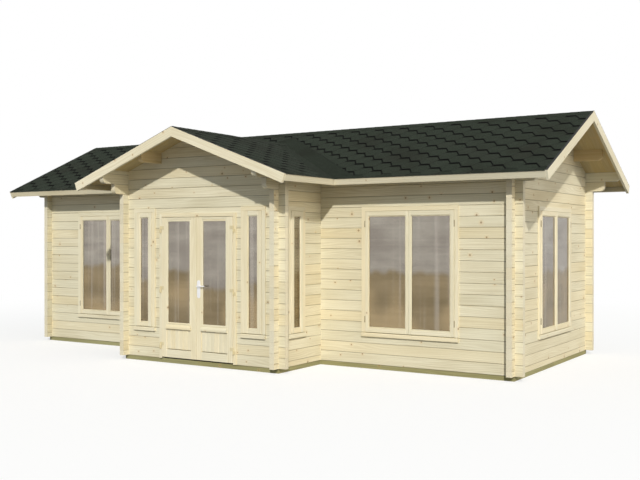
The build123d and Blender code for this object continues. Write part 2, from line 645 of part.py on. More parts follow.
def on_door(shape, side):
    """Stand a shape made for the right leaf in the doorway, mirrored for the left one."""
    if side < 0:
        shape = mirror(shape, about=Plane.YZ)
    return Pos(0, BAY_FRONT, 0) * shape


fixed = Part() + fixed_hinges
moving = Part() + moving_hinges
parts["hinge_pins"] = Part() + [on_door(fixed, -1), on_door(fixed, 1)]
for side, word in ((-1, "left"), (1, "right")):
    parts["door_" + word] = on_door(leaf, side)
    parts["door_glass_" + word] = on_door(leaf_glass, side)
    parts["hinge_leaves_" + word] = on_door(moving, side)


# ---- handle ----
def handle_side(face, out):
    """Long plate and lever on one face of the leaf; out is -1 outside, 1 inside."""
    plate = Pos(HANDLE_X, face + out * PLATE_THICK / 2, HANDLE_Z - PLATE_DROP)
    plate = plate * Box(PLATE_WIDTH, PLATE_THICK, PLATE_HEIGHT)
    neck = Pos(HANDLE_X, face + out * LEVER_OUT / 2, HANDLE_Z)
    neck = neck * Rot(90, 0, 0) * round_bar(LEVER_RADIUS, LEVER_OUT)
    lever = Pos(HANDLE_X + LEVER_LENGTH / 2, face + out * (LEVER_OUT - LEVER_RADIUS), HANDLE_Z)
    lever = lever * Rot(0, 90, 0) * round_bar(LEVER_RADIUS, LEVER_LENGTH)
    return plate + neck + lever


spindle_y = (leaf_back - LEAF_PROUD) / 2
spindle = Pos(HANDLE_X, spindle_y, HANDLE_Z) * Box(SPINDLE, LEAF_THICK, SPINDLE)
handle = handle_side(-LEAF_PROUD, -1) + handle_side(leaf_back, 1) + spindle
parts["door_handle"] = on_door(handle, 1)
parts["door_right"] = parts["door_right"] - on_door(spindle, 1)

os.makedirs("parts", exist_ok=True)
for name, shape in parts.items():
    export_step(shape, "parts/" + name + ".step")
print(len(parts), "sub-parts")
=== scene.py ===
# %% [markdown]
# A log cabin, finished for looks around its engineering model.
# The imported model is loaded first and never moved: walls, purlins, beams, threshold, glass and
# door hinges stay as they are and only get a finish. Boards, shingles, sashes, door leaves, the
# handle and the window hinges are modelled here in detail.

# %% Load the frame
import math
import random
from functools import partialmethod

import bmesh
import bpy
from mathutils import Matrix, Vector


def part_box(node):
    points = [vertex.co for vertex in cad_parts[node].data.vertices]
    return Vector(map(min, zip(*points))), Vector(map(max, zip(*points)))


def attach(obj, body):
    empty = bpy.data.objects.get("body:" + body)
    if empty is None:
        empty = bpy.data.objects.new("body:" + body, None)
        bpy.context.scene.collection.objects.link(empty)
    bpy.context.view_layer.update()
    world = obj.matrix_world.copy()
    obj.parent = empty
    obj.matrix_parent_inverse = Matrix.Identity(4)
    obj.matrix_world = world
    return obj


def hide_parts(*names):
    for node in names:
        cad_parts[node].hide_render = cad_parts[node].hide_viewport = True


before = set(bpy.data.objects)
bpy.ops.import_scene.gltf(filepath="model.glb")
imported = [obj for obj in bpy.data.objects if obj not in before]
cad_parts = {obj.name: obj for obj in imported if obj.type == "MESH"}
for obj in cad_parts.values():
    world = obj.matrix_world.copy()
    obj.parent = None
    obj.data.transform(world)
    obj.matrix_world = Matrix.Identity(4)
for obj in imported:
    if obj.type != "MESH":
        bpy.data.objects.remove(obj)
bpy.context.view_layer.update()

# %% [markdown]
# The main positions are read from the loaded nodes, so they need no fitting by eye. A roof slope
# is known from three numbers: the height of its ridge, how far out it runs and how far it drops.
# The bargeboards are a little thicker here than in the model, and the shingles lap over them.

# %% Measure the roof
COVER_DEPTH = 0.006
DRIP = 0.02
MODEL_TRIM, TRIM_THICK = 0.03, 0.034
LAP = TRIM_THICK - MODEL_TRIM
rear_low, rear_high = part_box("roof_cover_rear")
bay_low, bay_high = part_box("roof_cover_bay_right")
MAIN_RIDGE = rear_high.z
MAIN_RUN = rear_high.y
MAIN_PITCH = math.atan((rear_high.z - rear_low.z - COVER_DEPTH) / MAIN_RUN)
BAY_RIDGE = bay_high.z
BAY_RUN = bay_high.x
BAY_PITCH = math.atan((bay_high.z - bay_low.z - COVER_DEPTH) / BAY_RUN)
VERGE, BAY_VERGE = rear_high.x, -bay_low.y
MEET = -(MAIN_RIDGE - BAY_RIDGE) / math.tan(MAIN_PITCH)
print("pitches", round(math.degrees(MAIN_PITCH), 2), round(math.degrees(BAY_PITCH), 2))
print("bay ridge meets the main slope at y", round(MEET, 3))

# %% Measure the walls
LOG = 0.135
LOG_THICK = 0.07
rear_wall_low, rear_wall_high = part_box("rear_wall")
LOG_FOOT = rear_wall_low.z
HOUSE_BACK = rear_wall_high.y
HOUSE_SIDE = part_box("end_wall_right")[1].x
BAY_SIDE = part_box("bay_wall_right")[1].x
BAY_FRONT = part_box("bay_front_right")[0].y
print("bay front", round(BAY_FRONT, 3), "bay side", round(BAY_SIDE, 3), "foot", round(LOG_FOOT, 3))

# %% [markdown]
# Shader sums are easier to read as Python than as boxes and wires. A small class wraps a node's
# output, and its operators add Math nodes, so a mask is written as it would be on paper.


# %% A value that varies over a surface
class Field:
    """The output of a node, with arithmetic."""

    def __init__(self, finish, socket):
        self.finish = finish
        self.socket = socket

    def math(self, operation, *others):
        return self.finish.node("Math", dict(enumerate((self, *others))), operation=operation)

    __add__ = __radd__ = partialmethod(math, "ADD")
    __mul__ = __rmul__ = partialmethod(math, "MULTIPLY")
    __sub__ = partialmethod(math, "SUBTRACT")
    __truediv__ = partialmethod(math, "DIVIDE")
    __gt__ = partialmethod(math, "GREATER_THAN")

    def __rsub__(self, other):
        return self * -1.0 + other


# %% [markdown]
# A finish is one material, or the sky. Every node in it is made by one method, which sets the
# node's own settings first and then its sockets, either to plain values or to links.


# %% A finish and its nodes
RAYS = ("Is Camera Ray", "Is Glossy Ray", "Is Transmission Ray")


class Finish:
    """One material or world, built from nodes."""

    def __init__(self, name, kind="materials"):
        self.data = getattr(bpy.data, kind).new(name)
        self.data.use_nodes = True
        self.tree = self.data.node_tree
        self.tree.nodes.clear()

    def node(self, kind, sockets=None, output=0, **settings):
        made = self.tree.nodes.new("ShaderNode" + kind)
        for key, value in settings.items():
            setattr(made, key, value)
        for key, value in (sockets or {}).items():
            if isinstance(value, Field):
                self.tree.links.new(value.socket, made.inputs[key])
            else:
                made.inputs[key].default_value = value
        return Field(self, made.outputs[output]) if len(made.outputs) else None

    def split(self, vector):
        return [self.node("SeparateXYZ", {"Vector": vector}, axis) for axis in "XYZ"]

    def join(self, x, y, z=0.0):
        return self.node("CombineXYZ", {"X": x, "Y": y, "Z": z})

    def place(self):
        """Where a point is on the object, in metres."""
        return self.split(self.node("TexCoord", output="Object"))

    def facing(self):
        return self.split(self.node("NewGeometry", output="True Normal"))

    def stored(self, name, output="Vector"):
        """A value that the mesh itself carries."""
        return self.node("Attribute", output=output, attribute_name=name)

    def noise(self, x, y, z=0.0, detail=2.0):
        return self.node("TexNoise", {"Vector": self.join(x, y, z), "Scale": 1.0, "Detail": detail})

    def specks(self, size, detail=2.0):
        """Noise that is alike in all directions, size waves to a metre."""
        place = self.node("TexCoord", output="Object")
        return self.node("TexNoise", {"Vector": place, "Scale": size, "Detail": detail})

    def chance(self, number):
        """A steady random value for each whole number."""
        return self.node("TexWhiteNoise", {"W": number}, noise_dimensions="1D")

    def step(self, value, low, high):
        """0 below low, 1 above high, smooth between; low may be the larger of the two."""
        sockets = {"Value": value, "From Min": low, "From Max": high}
        return self.node("MapRange", sockets, interpolation_type="SMOOTHSTEP")

    def mix(self, factor, first, second):
        return self.node("Mix", {"Factor": factor, 6: first, 7: second}, 2, data_type="RGBA")

    def scale(self, colour, factor):
        return self.node("VectorMath", {0: colour, "Scale": factor}, operation="SCALE")

    def seen(self):
        """1 for rays from the camera, also by way of glass, and 0 for light on its way."""
        rays = [self.node("LightPath", output=name) for name in RAYS]
        return rays[0].math("MAXIMUM", rays[1]).math("MAXIMUM", rays[2])

    def surface(self, sockets, height=None, depth=0.001):
        """The shader, with a bump from height, which is a field, depth metres deep."""
        if height is not None:
            bump = {"Height": height, "Distance": depth, "Strength": 1.0}
            sockets["Normal"] = self.node("Bump", bump)
        return self.output("Material", self.node("BsdfPrincipled", sockets))

    def output(self, kind, shader):
        self.node("Output" + kind, {"Surface": shader})
        return self.data


def paint(red, green, blue):
    """A colour as seen on a paint card, 0 to 255, turned into light values."""
    values = []
    for value in (red, green, blue):
        share = value / 255
        values.append(share / 12.92 if share <= 0.04045 else ((share + 0.055) / 1.055) ** 2.4)
    return (*values, 1.0)


# %% [markdown]
# Planed spruce is pale, with fine streaks along the board, slow waves of wider grain, and small
# knots. The grain needs to know which way the board runs, so the finish takes the three
# coordinates in the order along, across, deep. Each log or board has a number of its own, which
# shifts its grain and changes its tone a little, because no two come from the same tree. Sawn
# ends are greyer and have no knots, and a dark seam lies between two logs.


# %% Spruce
KNOT_CELLS = 3.4
KNOT_RADIUS, KNOT_SPREAD = 0.005, 0.007
SHIFT_ALONG, SHIFT_ACROSS = 41.0, 17.0
GREY_TREE, HONEY_TREE = paint(208, 208, 188), paint(230, 210, 160)
KNOT_HALO, KNOT, KNOT_RING = paint(214, 178, 118), paint(140, 108, 70), paint(84, 62, 40)
SAWN_END, SEAM = paint(214, 208, 192), paint(104, 88, 60)


def spruce(name, pale, deep, read, knots=0.5, joint=None, gloss=0.6, variety=0.21, end_axis=None):
    """read(finish) gives along, across, deep and the board's number.

    joint is the height of one joint between logs; end_axis is the axis that sawn ends face.
    """
    finish = Finish(name)
    along, across, depth, number = read(finish)
    sawn = finish.facing()[end_axis].math("ABSOLUTE") > 0.9 if end_axis is not None else 0.0
    tone = finish.chance(number)
    along = along + tone * SHIFT_ALONG
    cell = finish.join(along * KNOT_CELLS, across * KNOT_CELLS + tone * SHIFT_ACROSS)
    sockets = {"Vector": cell, "Scale": 1.0, "Randomness": 1.0}
    distance, cell_colour = (
        finish.node("TexVoronoi", sockets, name, voronoi_dimensions="2D") for name in ("Distance", "Color")
    )
    distance = distance / KNOT_CELLS
    pick = finish.split(cell_colour)
    radius = pick[1] * KNOT_SPREAD + KNOT_RADIUS
    present = finish.step(pick[0], 1.0 - knots, 1.0 - knots + 0.02) * (1.0 - sawn)
    near = distance / radius
    knot = finish.step(near, 1.15, 0.8) * present
    ring_of_knot = finish.step(near, 1.25, 0.98) * finish.step(near, 0.62, 0.9) * present
    halo = finish.step(near, 4.5, 0.9) * present
    wave = finish.noise(along * 0.55, across * 5.0, depth * 5.0, 2.0)
    rings = ((across + depth) * 46.0 + wave * 11.0 + halo * 1.6) * math.tau
    ring = rings.math("SINE") * 0.5 + 0.5
    streak = finish.noise(along * 1.3, across * 70.0, depth * 70.0, 3.0)
    pores = finish.noise(along * 22.0, across * 420.0, depth * 420.0, 2.0)
    cloud = finish.noise(along * 1.1, across * 2.5, depth * 2.5, 1.0)
    grain = ring * 0.14 + streak * 0.46 + pores * 0.18 + cloud * 0.5 - 0.15
    grain = finish.step(grain, 0.05, 0.95)
    colour = finish.mix(grain, pale, deep)
    colour = finish.mix(finish.step(tone, 0.4, 1.0) * variety, colour, GREY_TREE)
    colour = finish.mix(finish.step(tone, 0.5, 0.0) * variety, colour, HONEY_TREE)
    colour = finish.mix(halo * 0.25, colour, KNOT_HALO)
    colour = finish.mix(knot * 0.6, colour, KNOT)
    colour = finish.mix(ring_of_knot * 0.5, colour, KNOT_RING)
    if joint is not None:
        place = (across - joint) / LOG + 0.5
        gap = (place.math("FRACT") - 0.5).math("ABSOLUTE") * LOG
        seam = finish.step(gap, 0.0052, 0.0012)
        colour = finish.mix(sawn * 0.3, colour, SAWN_END)
        colour = finish.mix(seam * (0.6 - sawn * 0.45), colour, SEAM)
    height = ring * 0.25 + streak * 0.4 + pores * 0.25 - knot * 0.5
    sockets = {"Base Color": colour, "Roughness": grain * 0.14 + gloss, "Specular IOR Level": 0.35}
    return finish.surface(sockets, height, 0.0006)


# %% [markdown]
# A log wall gives the board number from the height: one course, one log. Walls along the ridge
# start with a whole log and walls across it with half a log, which is how logs cross at a corner.
# What is added to the numbers keeps the logs of different walls apart.


# %% Which way the grain runs
GRAIN_STEP = 10.0


def log_reader(axis, first):
    """Grain of logs that run along axis 0 or 1, whose joints lie at first plus whole courses."""

    def read(finish):
        place = finish.place()
        along, deep = place[axis], place[1 - axis]
        number = ((place[2] - first) / LOG).math("FLOOR") + 40.0 * axis
        return along, place[2], deep, number + (deep > 0.0) * 100.0

    return read


def plain_reader(axis):
    """Grain of timbers along axis 0 or 1, with one number for each corner of the house."""

    def read(finish):
        place = finish.place()
        along, deep = place[axis], place[1 - axis]
        number = (deep > 0.0) * 5.0 + (along > 0.0) * 11.0
        return along, place[2], deep, number

    return read


def board_reader(finish):
    """Grain stored on the piece itself when its boards were made."""
    along, across, depth = finish.split(finish.stored("grain"))
    number = (depth / GRAIN_STEP + 0.5).math("FLOOR")
    return along, across, depth, number


# %% The wood finishes
PALE, DEEP = paint(237, 232, 208), paint(192, 180, 146)
# Purlins get a darker, warmer spruce than the logs: painted shade, as they lie under the roof.
PURLIN_SHADED_PALE, PURLIN_SHADED_DEEP = paint(222, 202, 156), paint(190, 164, 114)
GREEN_PALE, GREEN_DEEP = paint(166, 162, 116), paint(120, 116, 76)


def log_wood(name, axis, first):
    return spruce(name, PALE, DEEP, log_reader(axis, first), joint=first, end_axis=axis)


def purlin_wood(name, axis):
    return spruce(name, PURLIN_SHADED_PALE, PURLIN_SHADED_DEEP, plain_reader(axis), 0.3, end_axis=axis)


def treated_wood(name, axis):
    return spruce(name, GREEN_PALE, GREEN_DEEP, plain_reader(axis), 0.4, gloss=0.75)


def board_wood(name, pale, deep, knots, **look):
    return spruce(name, paint(*pale), paint(*deep), board_reader, knots, **look)


logs_x, logs_y = log_wood("logs_along", 0, LOG_FOOT), log_wood("logs_across", 1, LOG_FOOT + LOG / 2)
purlin_x, purlin_y = purlin_wood("purlins_along", 0), purlin_wood("purlins_across", 1)
trim = board_wood("roof_trim", (238, 232, 210), (206, 195, 162), 0.45)
joinery = board_wood("joinery", (237, 231, 208), (208, 197, 164), 0.25, gloss=0.5, variety=0.25)
deck_wood = board_wood("roof_boards", (198, 180, 132), (172, 148, 97), 0.3, variety=0.1)
floor_wood = board_wood("floor_boards", (224, 198, 144), (190, 156, 100), 0.45)

# %% [markdown]
# The beams under the cabin are pressure treated, which turns spruce olive green. The threshold
# is wood painted very dark, as painted shade for the gap under the doors. The same finish serves,
# with other pairs of colours.

# %% Treated wood and threshold
beams, joists = treated_wood("treated_beams", 0), treated_wood("treated_joists", 1)
# Painted shade: the threshold is coloured as dark as the shaded gap under the doors.
shaded_threshold = spruce("threshold_painted_shade", paint(66, 55, 40), paint(40, 32, 23), plain_reader(0), 0.0, gloss=0.5)


# %% [markdown]
# Bitumen shingles are felt pressed full of slate granules. Seen close they glitter in grey, green
# and black; each tab is a shade lighter or darker than its neighbours. Where a tab comes out from
# under the row above, painted shade darkens it along its top and along one slanted side, standing
# for the shade of that row. Cut edges are black.


# %% Shingle finishes
TAB_PITCH = 0.40
TAB_WIDTH = 0.285
TAB_FLAT = 0.115
ROW = 0.1415
TAB_HALF = TAB_WIDTH / 2
TAB_SIDE = (TAB_WIDTH - TAB_FLAT) / 2
TOP_SHADE = (0.058, 0.044)
SIDE_SHADE = (0.028, 0.017)
SLATE_DEEP, SLATE_PALE, SLATE_BROWN = paint(29, 34, 28), paint(62, 69, 60), paint(36, 37, 31)
SLATE_RUSTY, FELT_DEEP, FELT_PALE = paint(44, 41, 38), paint(14, 15, 14), paint(30, 32, 30)


def shingle_finish(name, on_tab):
    finish = Finish(name)
    coarse, fine, patch = finish.specks(260.0, 3.0), finish.specks(720.0), finish.specks(1.4)
    speck = finish.step(coarse * 0.6 + fine * 0.5, 0.42, 0.72)
    colour = finish.mix(speck, SLATE_DEEP, SLATE_PALE)
    colour = finish.mix(finish.step(patch, 0.45, 0.7) * 0.5, colour, SLATE_BROWN)
    if on_tab:
        tone = finish.stored("tone", "Fac")
        colour = finish.mix(finish.step(tone, 0.8, 0.9) * 0.15, colour, SLATE_RUSTY)
        colour = finish.scale(colour, tone * 0.1 + 0.95)
        # Painted shade: a dark band along the tab's top and one slanted side, where the row above lies over
        # it.
        right, down = finish.split(finish.stored("tab"))[:2]
        top = down + ROW + fine * 0.008
        slant = down * TAB_SIDE - right.math("ABSOLUTE") * ROW + ROW * TAB_HALF
        corner = slant / math.hypot(ROW, TAB_SIDE)
        near = finish.step(top, *TOP_SHADE)
        aside = finish.step(corner + fine * 0.006, *SIDE_SHADE) * (right * -1.0 > 0.0)
        colour = finish.scale(colour, 1.0 - near.math("MAXIMUM", aside * 0.9) * 0.97)
    else:
        colour = finish.scale(colour, 0.78)
    rough = 0.95 - speck * 0.12
    sockets = {"Base Color": colour, "Roughness": rough, "Specular IOR Level": 0.03}
    return finish.surface(sockets, coarse * 0.6 + fine * 0.4, 0.0012)


def edge_finish():
    finish = Finish("shingle_edge")
    rough = finish.specks(300.0)
    colour = finish.mix(rough, FELT_DEEP, FELT_PALE)
    return finish.surface({"Base Color": colour, "Roughness": 0.9}, rough, 0.0005)


shingle_tab = shingle_finish("shingle_granules", True)
shingle_sheet = shingle_finish("valley_sheet", False)
shingle_edge = edge_finish()


# %% [markdown]
# Window glass shows two things at once: a mirror image of what is outside, and the dim room
# behind. A half-clear mirror does both, and its colour is a painted reflection: clouds drifting
# above and the brown of hedges and ground below, with a soft uneven line between. No two panes
# hang quite alike, so in the bay's front the line lies lower in the right door leaf and beside
# the doors. Pale upright strips are painted reflections, and a warm patch low down is painted
# sunlight falling inside.


# %% Glass
# Painted reflection colours for sky, ground and upright strips, and painted sunlight for the warm patch.
REFLECTED_SKY_DEEP, REFLECTED_SKY_PALE = paint(162, 153, 142), paint(186, 179, 166)
REFLECTED_GROUND_DEEP, REFLECTED_GROUND_PALE = paint(146, 130, 100), paint(168, 150, 118)
REFLECTED_STRIP, PAINTED_SUN_PATCH = paint(214, 206, 194), paint(206, 182, 140)
DOORS_HALF = 0.67
BAY_FACE = 0.15
LINE_LOW, LINE_HIGH, LINE_WAVE = 1.2, 1.3, 0.2
LOWER_LEAF, LOWER_BESIDE = 0.23, 0.14


def glass_finish():
    finish = Finish("window_glass")
    x, y, z = finish.place()
    across = x + y
    drift = finish.noise(across * 1.3, z * 4.0, 3.0, 4.0)
    hedge = finish.noise(across * 5.0, 7.0, 1.0, 3.0)
    cloud = finish.step(drift, 0.3, 0.7)
    sky = finish.mix(cloud, REFLECTED_SKY_DEEP, REFLECTED_SKY_PALE)
    ground = finish.mix(cloud, REFLECTED_GROUND_DEEP, REFLECTED_GROUND_PALE)
    beside = finish.step(x.math("ABSOLUTE"), DOORS_HALF - 0.01, DOORS_HALF + 0.01)
    right_leaf = finish.step(x, 0.0, 0.02) * (1.0 - beside)
    bay_face = finish.step(y, BAY_FRONT + BAY_FACE, BAY_FRONT + BAY_FACE - 0.01)
    lower = (right_leaf * LOWER_LEAF + beside * LOWER_BESIDE) * bay_face
    line = z + (hedge - 0.5) * LINE_WAVE + lower
    colour = finish.mix(finish.step(line, LINE_LOW, LINE_HIGH), ground, sky)
    strips = finish.step(finish.noise(across * 11.0, z * 0.15, 9.0, 3.0), 0.5, 0.68)
    colour = finish.mix(strips * 0.4, colour, REFLECTED_STRIP)
    # Painted sunlight: a warm patch low in the pane, for sun falling inside.
    patch = finish.step(finish.noise(across * 1.2, z * 0.9, 21.0, 1.0), 0.5, 0.62)
    colour = finish.mix(patch * finish.step(z, 1.25, 0.9) * 0.6, colour, PAINTED_SUN_PATCH)
    fine = finish.noise(across * 0.8, z * 34.0, 5.0, 2.0)
    colour = finish.scale(colour, fine * 0.22 + 0.89)
    sockets = {"Base Color": colour, "Roughness": 0.03, "Metallic": 1.0, "Alpha": 0.66}
    return finish.surface(sockets)


glass = glass_finish()


# %% [markdown]
# The handle is satin steel: pale grey and half metallic, with fine brushing that blurs
# reflections.


# %% Steel
def steel_finish():
    finish = Finish("satin_steel")
    x, y, z = finish.place()
    brush = finish.noise(x * 90.0, y * 90.0, z * 1800.0, 2.0)
    colour = finish.mix(brush, paint(222, 223, 226), paint(244, 244, 246))
    rough = finish.specks(30.0) * 0.15 + 0.34
    sockets = {"Base Color": colour, "Roughness": rough, "Metallic": 0.55}
    return finish.surface(sockets, brush, 0.0001)


steel = steel_finish()


# %% [markdown]
# Hinges are plated with zinc and passivated. On the doors that leaves a dull straw yellow, which
# hardly shows against spruce; the small window hinges have gone dull and brown.


# %% Plated steel
def zinc_finish(name, deep, pale):
    finish = Finish(name)
    bloom = finish.specks(60.0, 3.0)
    colour = finish.mix(bloom, deep, pale)
    sockets = {"Base Color": colour, "Roughness": bloom * 0.2 + 0.42, "Metallic": 0.3}
    return finish.surface(sockets, bloom, 0.0001)


zinc = zinc_finish("yellow_zinc", paint(196, 182, 142), paint(224, 214, 178))
dull_zinc = zinc_finish("dull_zinc", paint(92, 78, 56), paint(150, 134, 98))


# %% [markdown]
# Nodes whose shape is right keep their own mesh and are only painted.


# %% Paint the nodes that stay
def paint_nodes(finish, *names):
    for name in names:
        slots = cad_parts[name].data.materials
        slots.clear()
        slots.append(finish)


paint_nodes(logs_x, "front_wall_left", "front_wall_right", "rear_wall")
paint_nodes(logs_x, "bay_front_left", "bay_front_right", "bay_gable")
paint_nodes(logs_y, "end_wall_left", "end_wall_right", "bay_wall_left", "bay_wall_right")
paint_nodes(purlin_x, "main_purlins")
paint_nodes(purlin_y, "bay_purlins")
paint_nodes(shaded_threshold, "threshold")
paint_nodes(beams, "foundation_beams")
paint_nodes(joists, "foundation_joists")
paint_nodes(glass, "front_window_glass", "end_window_glass", "bay_window_glass")
paint_nodes(glass, "door_glass_left", "door_glass_right")
paint_nodes(zinc, "hinge_pins", "hinge_leaves_left", "hinge_leaves_right")

# %% [markdown]
# A few steps come back in every shape: a box, eased edges, a cut that is closed again, and one
# mesh taken up into another.


# %% Steps in making a mesh
def add_box(bm, low, high):
    """A box between two corners; returns its vertices."""
    low, high = Vector(low), Vector(high)
    verts = bmesh.ops.create_cube(bm, size=1.0)["verts"]
    bmesh.ops.scale(bm, vec=high - low, verts=verts)
    bmesh.ops.translate(bm, vec=(low + high) / 2, verts=verts)
    return verts


def edges_of(verts):
    return {e for v in verts for e in v.link_edges}


def ease_edges(bm, edges, radius, segments=1):
    bmesh.ops.bevel(
        bm, geom=list(edges), offset=radius, affect="EDGES", segments=segments, profile=0.5, material=-1
    )


def moved_verts(extruded):
    """The vertices that an extrusion made, which are the ones to move."""
    return [part for part in extruded["geom"] if isinstance(part, bmesh.types.BMVert)]


def cut_off(bm, geometry, point, normal):
    """Take off what lies past a plane, and return the faces that close the cut."""
    cut = bmesh.ops.bisect_plane(
        bm, geom=geometry, dist=1e-6, plane_co=point, plane_no=normal, clear_outer=True
    )
    rim = [part for part in cut["geom_cut"] if isinstance(part, bmesh.types.BMEdge)]
    return bmesh.ops.holes_fill(bm, edges=rim)["faces"] if rim else []


def mesh_of(name, bm):
    mesh = bpy.data.meshes.new(name)
    bm.to_mesh(mesh)
    bm.free()
    return mesh


def merge(bm, part):
    """Take part up into bm; returns its faces there, as long as nothing was cut off bm before."""
    before = len(bm.faces)
    mesh = mesh_of("part", part)
    bm.from_mesh(mesh)
    bpy.data.meshes.remove(mesh)
    bm.faces.ensure_lookup_table()
    return bm.faces[before:]


def add_object(name, data):
    made = bpy.data.objects.new(name, data)
    bpy.context.scene.collection.objects.link(made)
    return made


def make_object(name, bm, finishes, nodes=(), body="cabin", smooth=None):
    """Turn a bmesh into a piece that rides on a body; smooth is the sharpest angle to shade over."""
    mesh = mesh_of(name, bm)
    if smooth:
        mesh.shade_smooth()
        mesh.set_sharp_from_angle(angle=math.radians(smooth))
    for finish in finishes:
        mesh.materials.append(finish)
    piece = add_object(name, mesh)
    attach(piece, body)
    if nodes:
        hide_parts(*nodes)
    print(name, len(mesh.polygons), "faces")


# %% [markdown]
# Everything made of boards is made the same way. One board is a box with its edges eased by a
# small bevel, so that it catches a line of light as a planed board does. Before it is turned
# into place it is told which way its grain runs.


# %% A piece made of boards
class Boards:
    """A mesh that boards are added to."""

    def __init__(self, seed):
        self.bm = bmesh.new()
        self.grain = self.bm.verts.layers.float_vector.new("grain")
        self.done = self.bm.verts.layers.int.new("done")
        self.random = random.Random(seed)

    def fresh(self):
        """Vertices of the newest board."""
        return [v for v in self.bm.verts if not v[self.done]]

    def settle(self, along, place, cuts=()):
        """Give the newest board its grain, turn it into place, and cut it."""
        fresh = self.fresh()
        across = 2 if along != 2 else 0
        deep = 3 - along - across
        shift = Vector((self.random.uniform(0, 30), self.random.uniform(0, 5), 0))
        shift.z = GRAIN_STEP * self.random.randrange(1, 90)
        for vert in fresh:
            order = (vert.co[along], vert.co[across], vert.co[deep])
            vert[self.grain] = Vector(order) + shift
        bmesh.ops.transform(self.bm, matrix=place, verts=fresh)
        for plane in cuts:
            faces = {f for v in fresh for f in v.link_faces}
            cut_off(self.bm, [*fresh, *edges_of(fresh), *faces], *plane)
            fresh = self.fresh()
        for vert in fresh:
            vert[self.done] = 1

    def board(self, low, high, along, place=Matrix.Identity(4), ease=0.0015, cuts=()):
        """One board between two corners; along is the axis of its grain before it is placed."""
        ease_edges(self.bm, edges_of(add_box(self.bm, low, high)), ease)
        self.settle(along, place, cuts)

    def moulding(self, outline, start, end, place, soft):
        """A shaped strip: outline holds corners (y, z), and the strip runs along X.

        soft lists the corners whose long edges are rounded, with the radius of each.
        """
        verts = [self.bm.verts.new((start, y, z)) for y, z in outline]
        face = self.bm.faces.new(verts)
        moved = moved_verts(bmesh.ops.extrude_face_region(self.bm, geom=[face]))
        bmesh.ops.translate(self.bm, vec=(end - start, 0, 0), verts=moved)
        for corner, radius in soft:
            point = Vector(outline[corner])
            edges = [
                edge for edge in edges_of(moved) if all((v.co.yz - point).length < 1e-6 for v in edge.verts)
            ]
            ease_edges(self.bm, edges, radius, 5)
            moved = self.fresh()
        self.settle(0, place)

    def finish(self, name, finish, slot, nodes=(), body="cabin"):
        bmesh.ops.recalc_face_normals(self.bm, faces=self.bm.faces)
        self.bm.verts.layers.int.remove(self.done)
        make_object(name, self.bm, [finish], nodes, body)


# %% [markdown]
# A roof slope has a frame of its own: along the ridge, down the slope, and straight out of it.
# Pieces are made flat in that frame and turned up onto the slope with one matrix.


# %% Slope frames
class Slope:
    """One side of a roof, which falls towards (x, y); the X of its frame runs along the ridge."""

    def __init__(self, x, y, height, pitch, run):
        ridge = Vector((0, 0, height))
        self.down = Vector((x * math.cos(pitch), y * math.cos(pitch), -math.sin(pitch)))
        self.length = run / math.cos(pitch)
        self.pitch = math.asin(-self.down.z)
        level = Vector((self.down.x, self.down.y, 0)).normalized()
        out = Vector((0, 0, 1)) * math.hypot(self.down.x, self.down.y) - level * self.down.z
        turn = Matrix((self.down.cross(out), self.down, out)).transposed().to_4x4()
        self.frame = Matrix.Translation(ridge) @ turn
        self.ridge_cut = (ridge, -level)

    def up_from_foot(self, level):
        """Place down the slope that lies level metres in from the foot, measured flat."""
        return self.length - level / math.cos(self.pitch)


SLOPES = {
    "rear": Slope(0, 1, MAIN_RIDGE, MAIN_PITCH, MAIN_RUN),
    "front": Slope(0, -1, MAIN_RIDGE, MAIN_PITCH, MAIN_RUN),
    "bay_left": Slope(-1, 0, BAY_RIDGE, BAY_PITCH, BAY_RUN),
    "bay_right": Slope(1, 0, BAY_RIDGE, BAY_PITCH, BAY_RUN),
}
for name, slope in SLOPES.items():
    print(name, "slope", round(slope.length, 3), "m long")

# %% [markdown]
# The roof has five parts, because the bay's roof parts the front slope in two. Four of them end
# in a valley, and are cut there by an upright plane.

# %% Parts of the roof
VALLEY_TOP = Vector((0, MEET, 0))
VALLEY_LINE = (Vector((BAY_RUN, -MAIN_RUN, 0)) - VALLEY_TOP).normalized()


class Part:
    """One part: its slope, its run along the ridge in shares of the verge, and its valley's side."""

    def __init__(self, name, slope, start, end, side):
        self.name, self.slope, self.side = name, SLOPES[slope], side
        self.start, self.end = start, end
        self.bay = slope.startswith("bay")

    def run(self, beyond=0.0):
        """Where it starts and ends along the ridge, reaching beyond the verge."""
        verge = (BAY_VERGE if self.bay else VERGE) + beyond
        return self.start * verge, self.end * verge

    def valley_cuts(self, inset=0.0):
        """The plane along the valley, if there is one; its normal points to what is cut off."""
        normal = Vector((VALLEY_LINE.y, -VALLEY_LINE.x, 0)) * (-1 if self.bay else 1)
        flip = Vector((self.side, 1, 1))
        return [((VALLEY_TOP - normal * inset) * flip, normal * flip)] if self.side else []


PARTS = (
    Part("rear", "rear", -1, 1, 0),
    Part("front_right", "front", -1, 0, 1),
    Part("front_left", "front", 0, 1, -1),
    Part("bay_right", "bay_right", 0, 1, 1),
    Part("bay_left", "bay_left", -1, 0, -1),
)


# %% [markdown]
# Hexagonal shingles are laid from the eaves up. Each tab is a hexagon, made from a six-sided
# circle and thickened. Every tab is tipped a little so that its lower edge stands proud of the
# tabs below; that small step and the painted shade in the finish draw the dark line under each one.

# %% One tab
LAST_ROW = 0.085
TAB_THICK = 0.004
TAB_GAP = 0.001


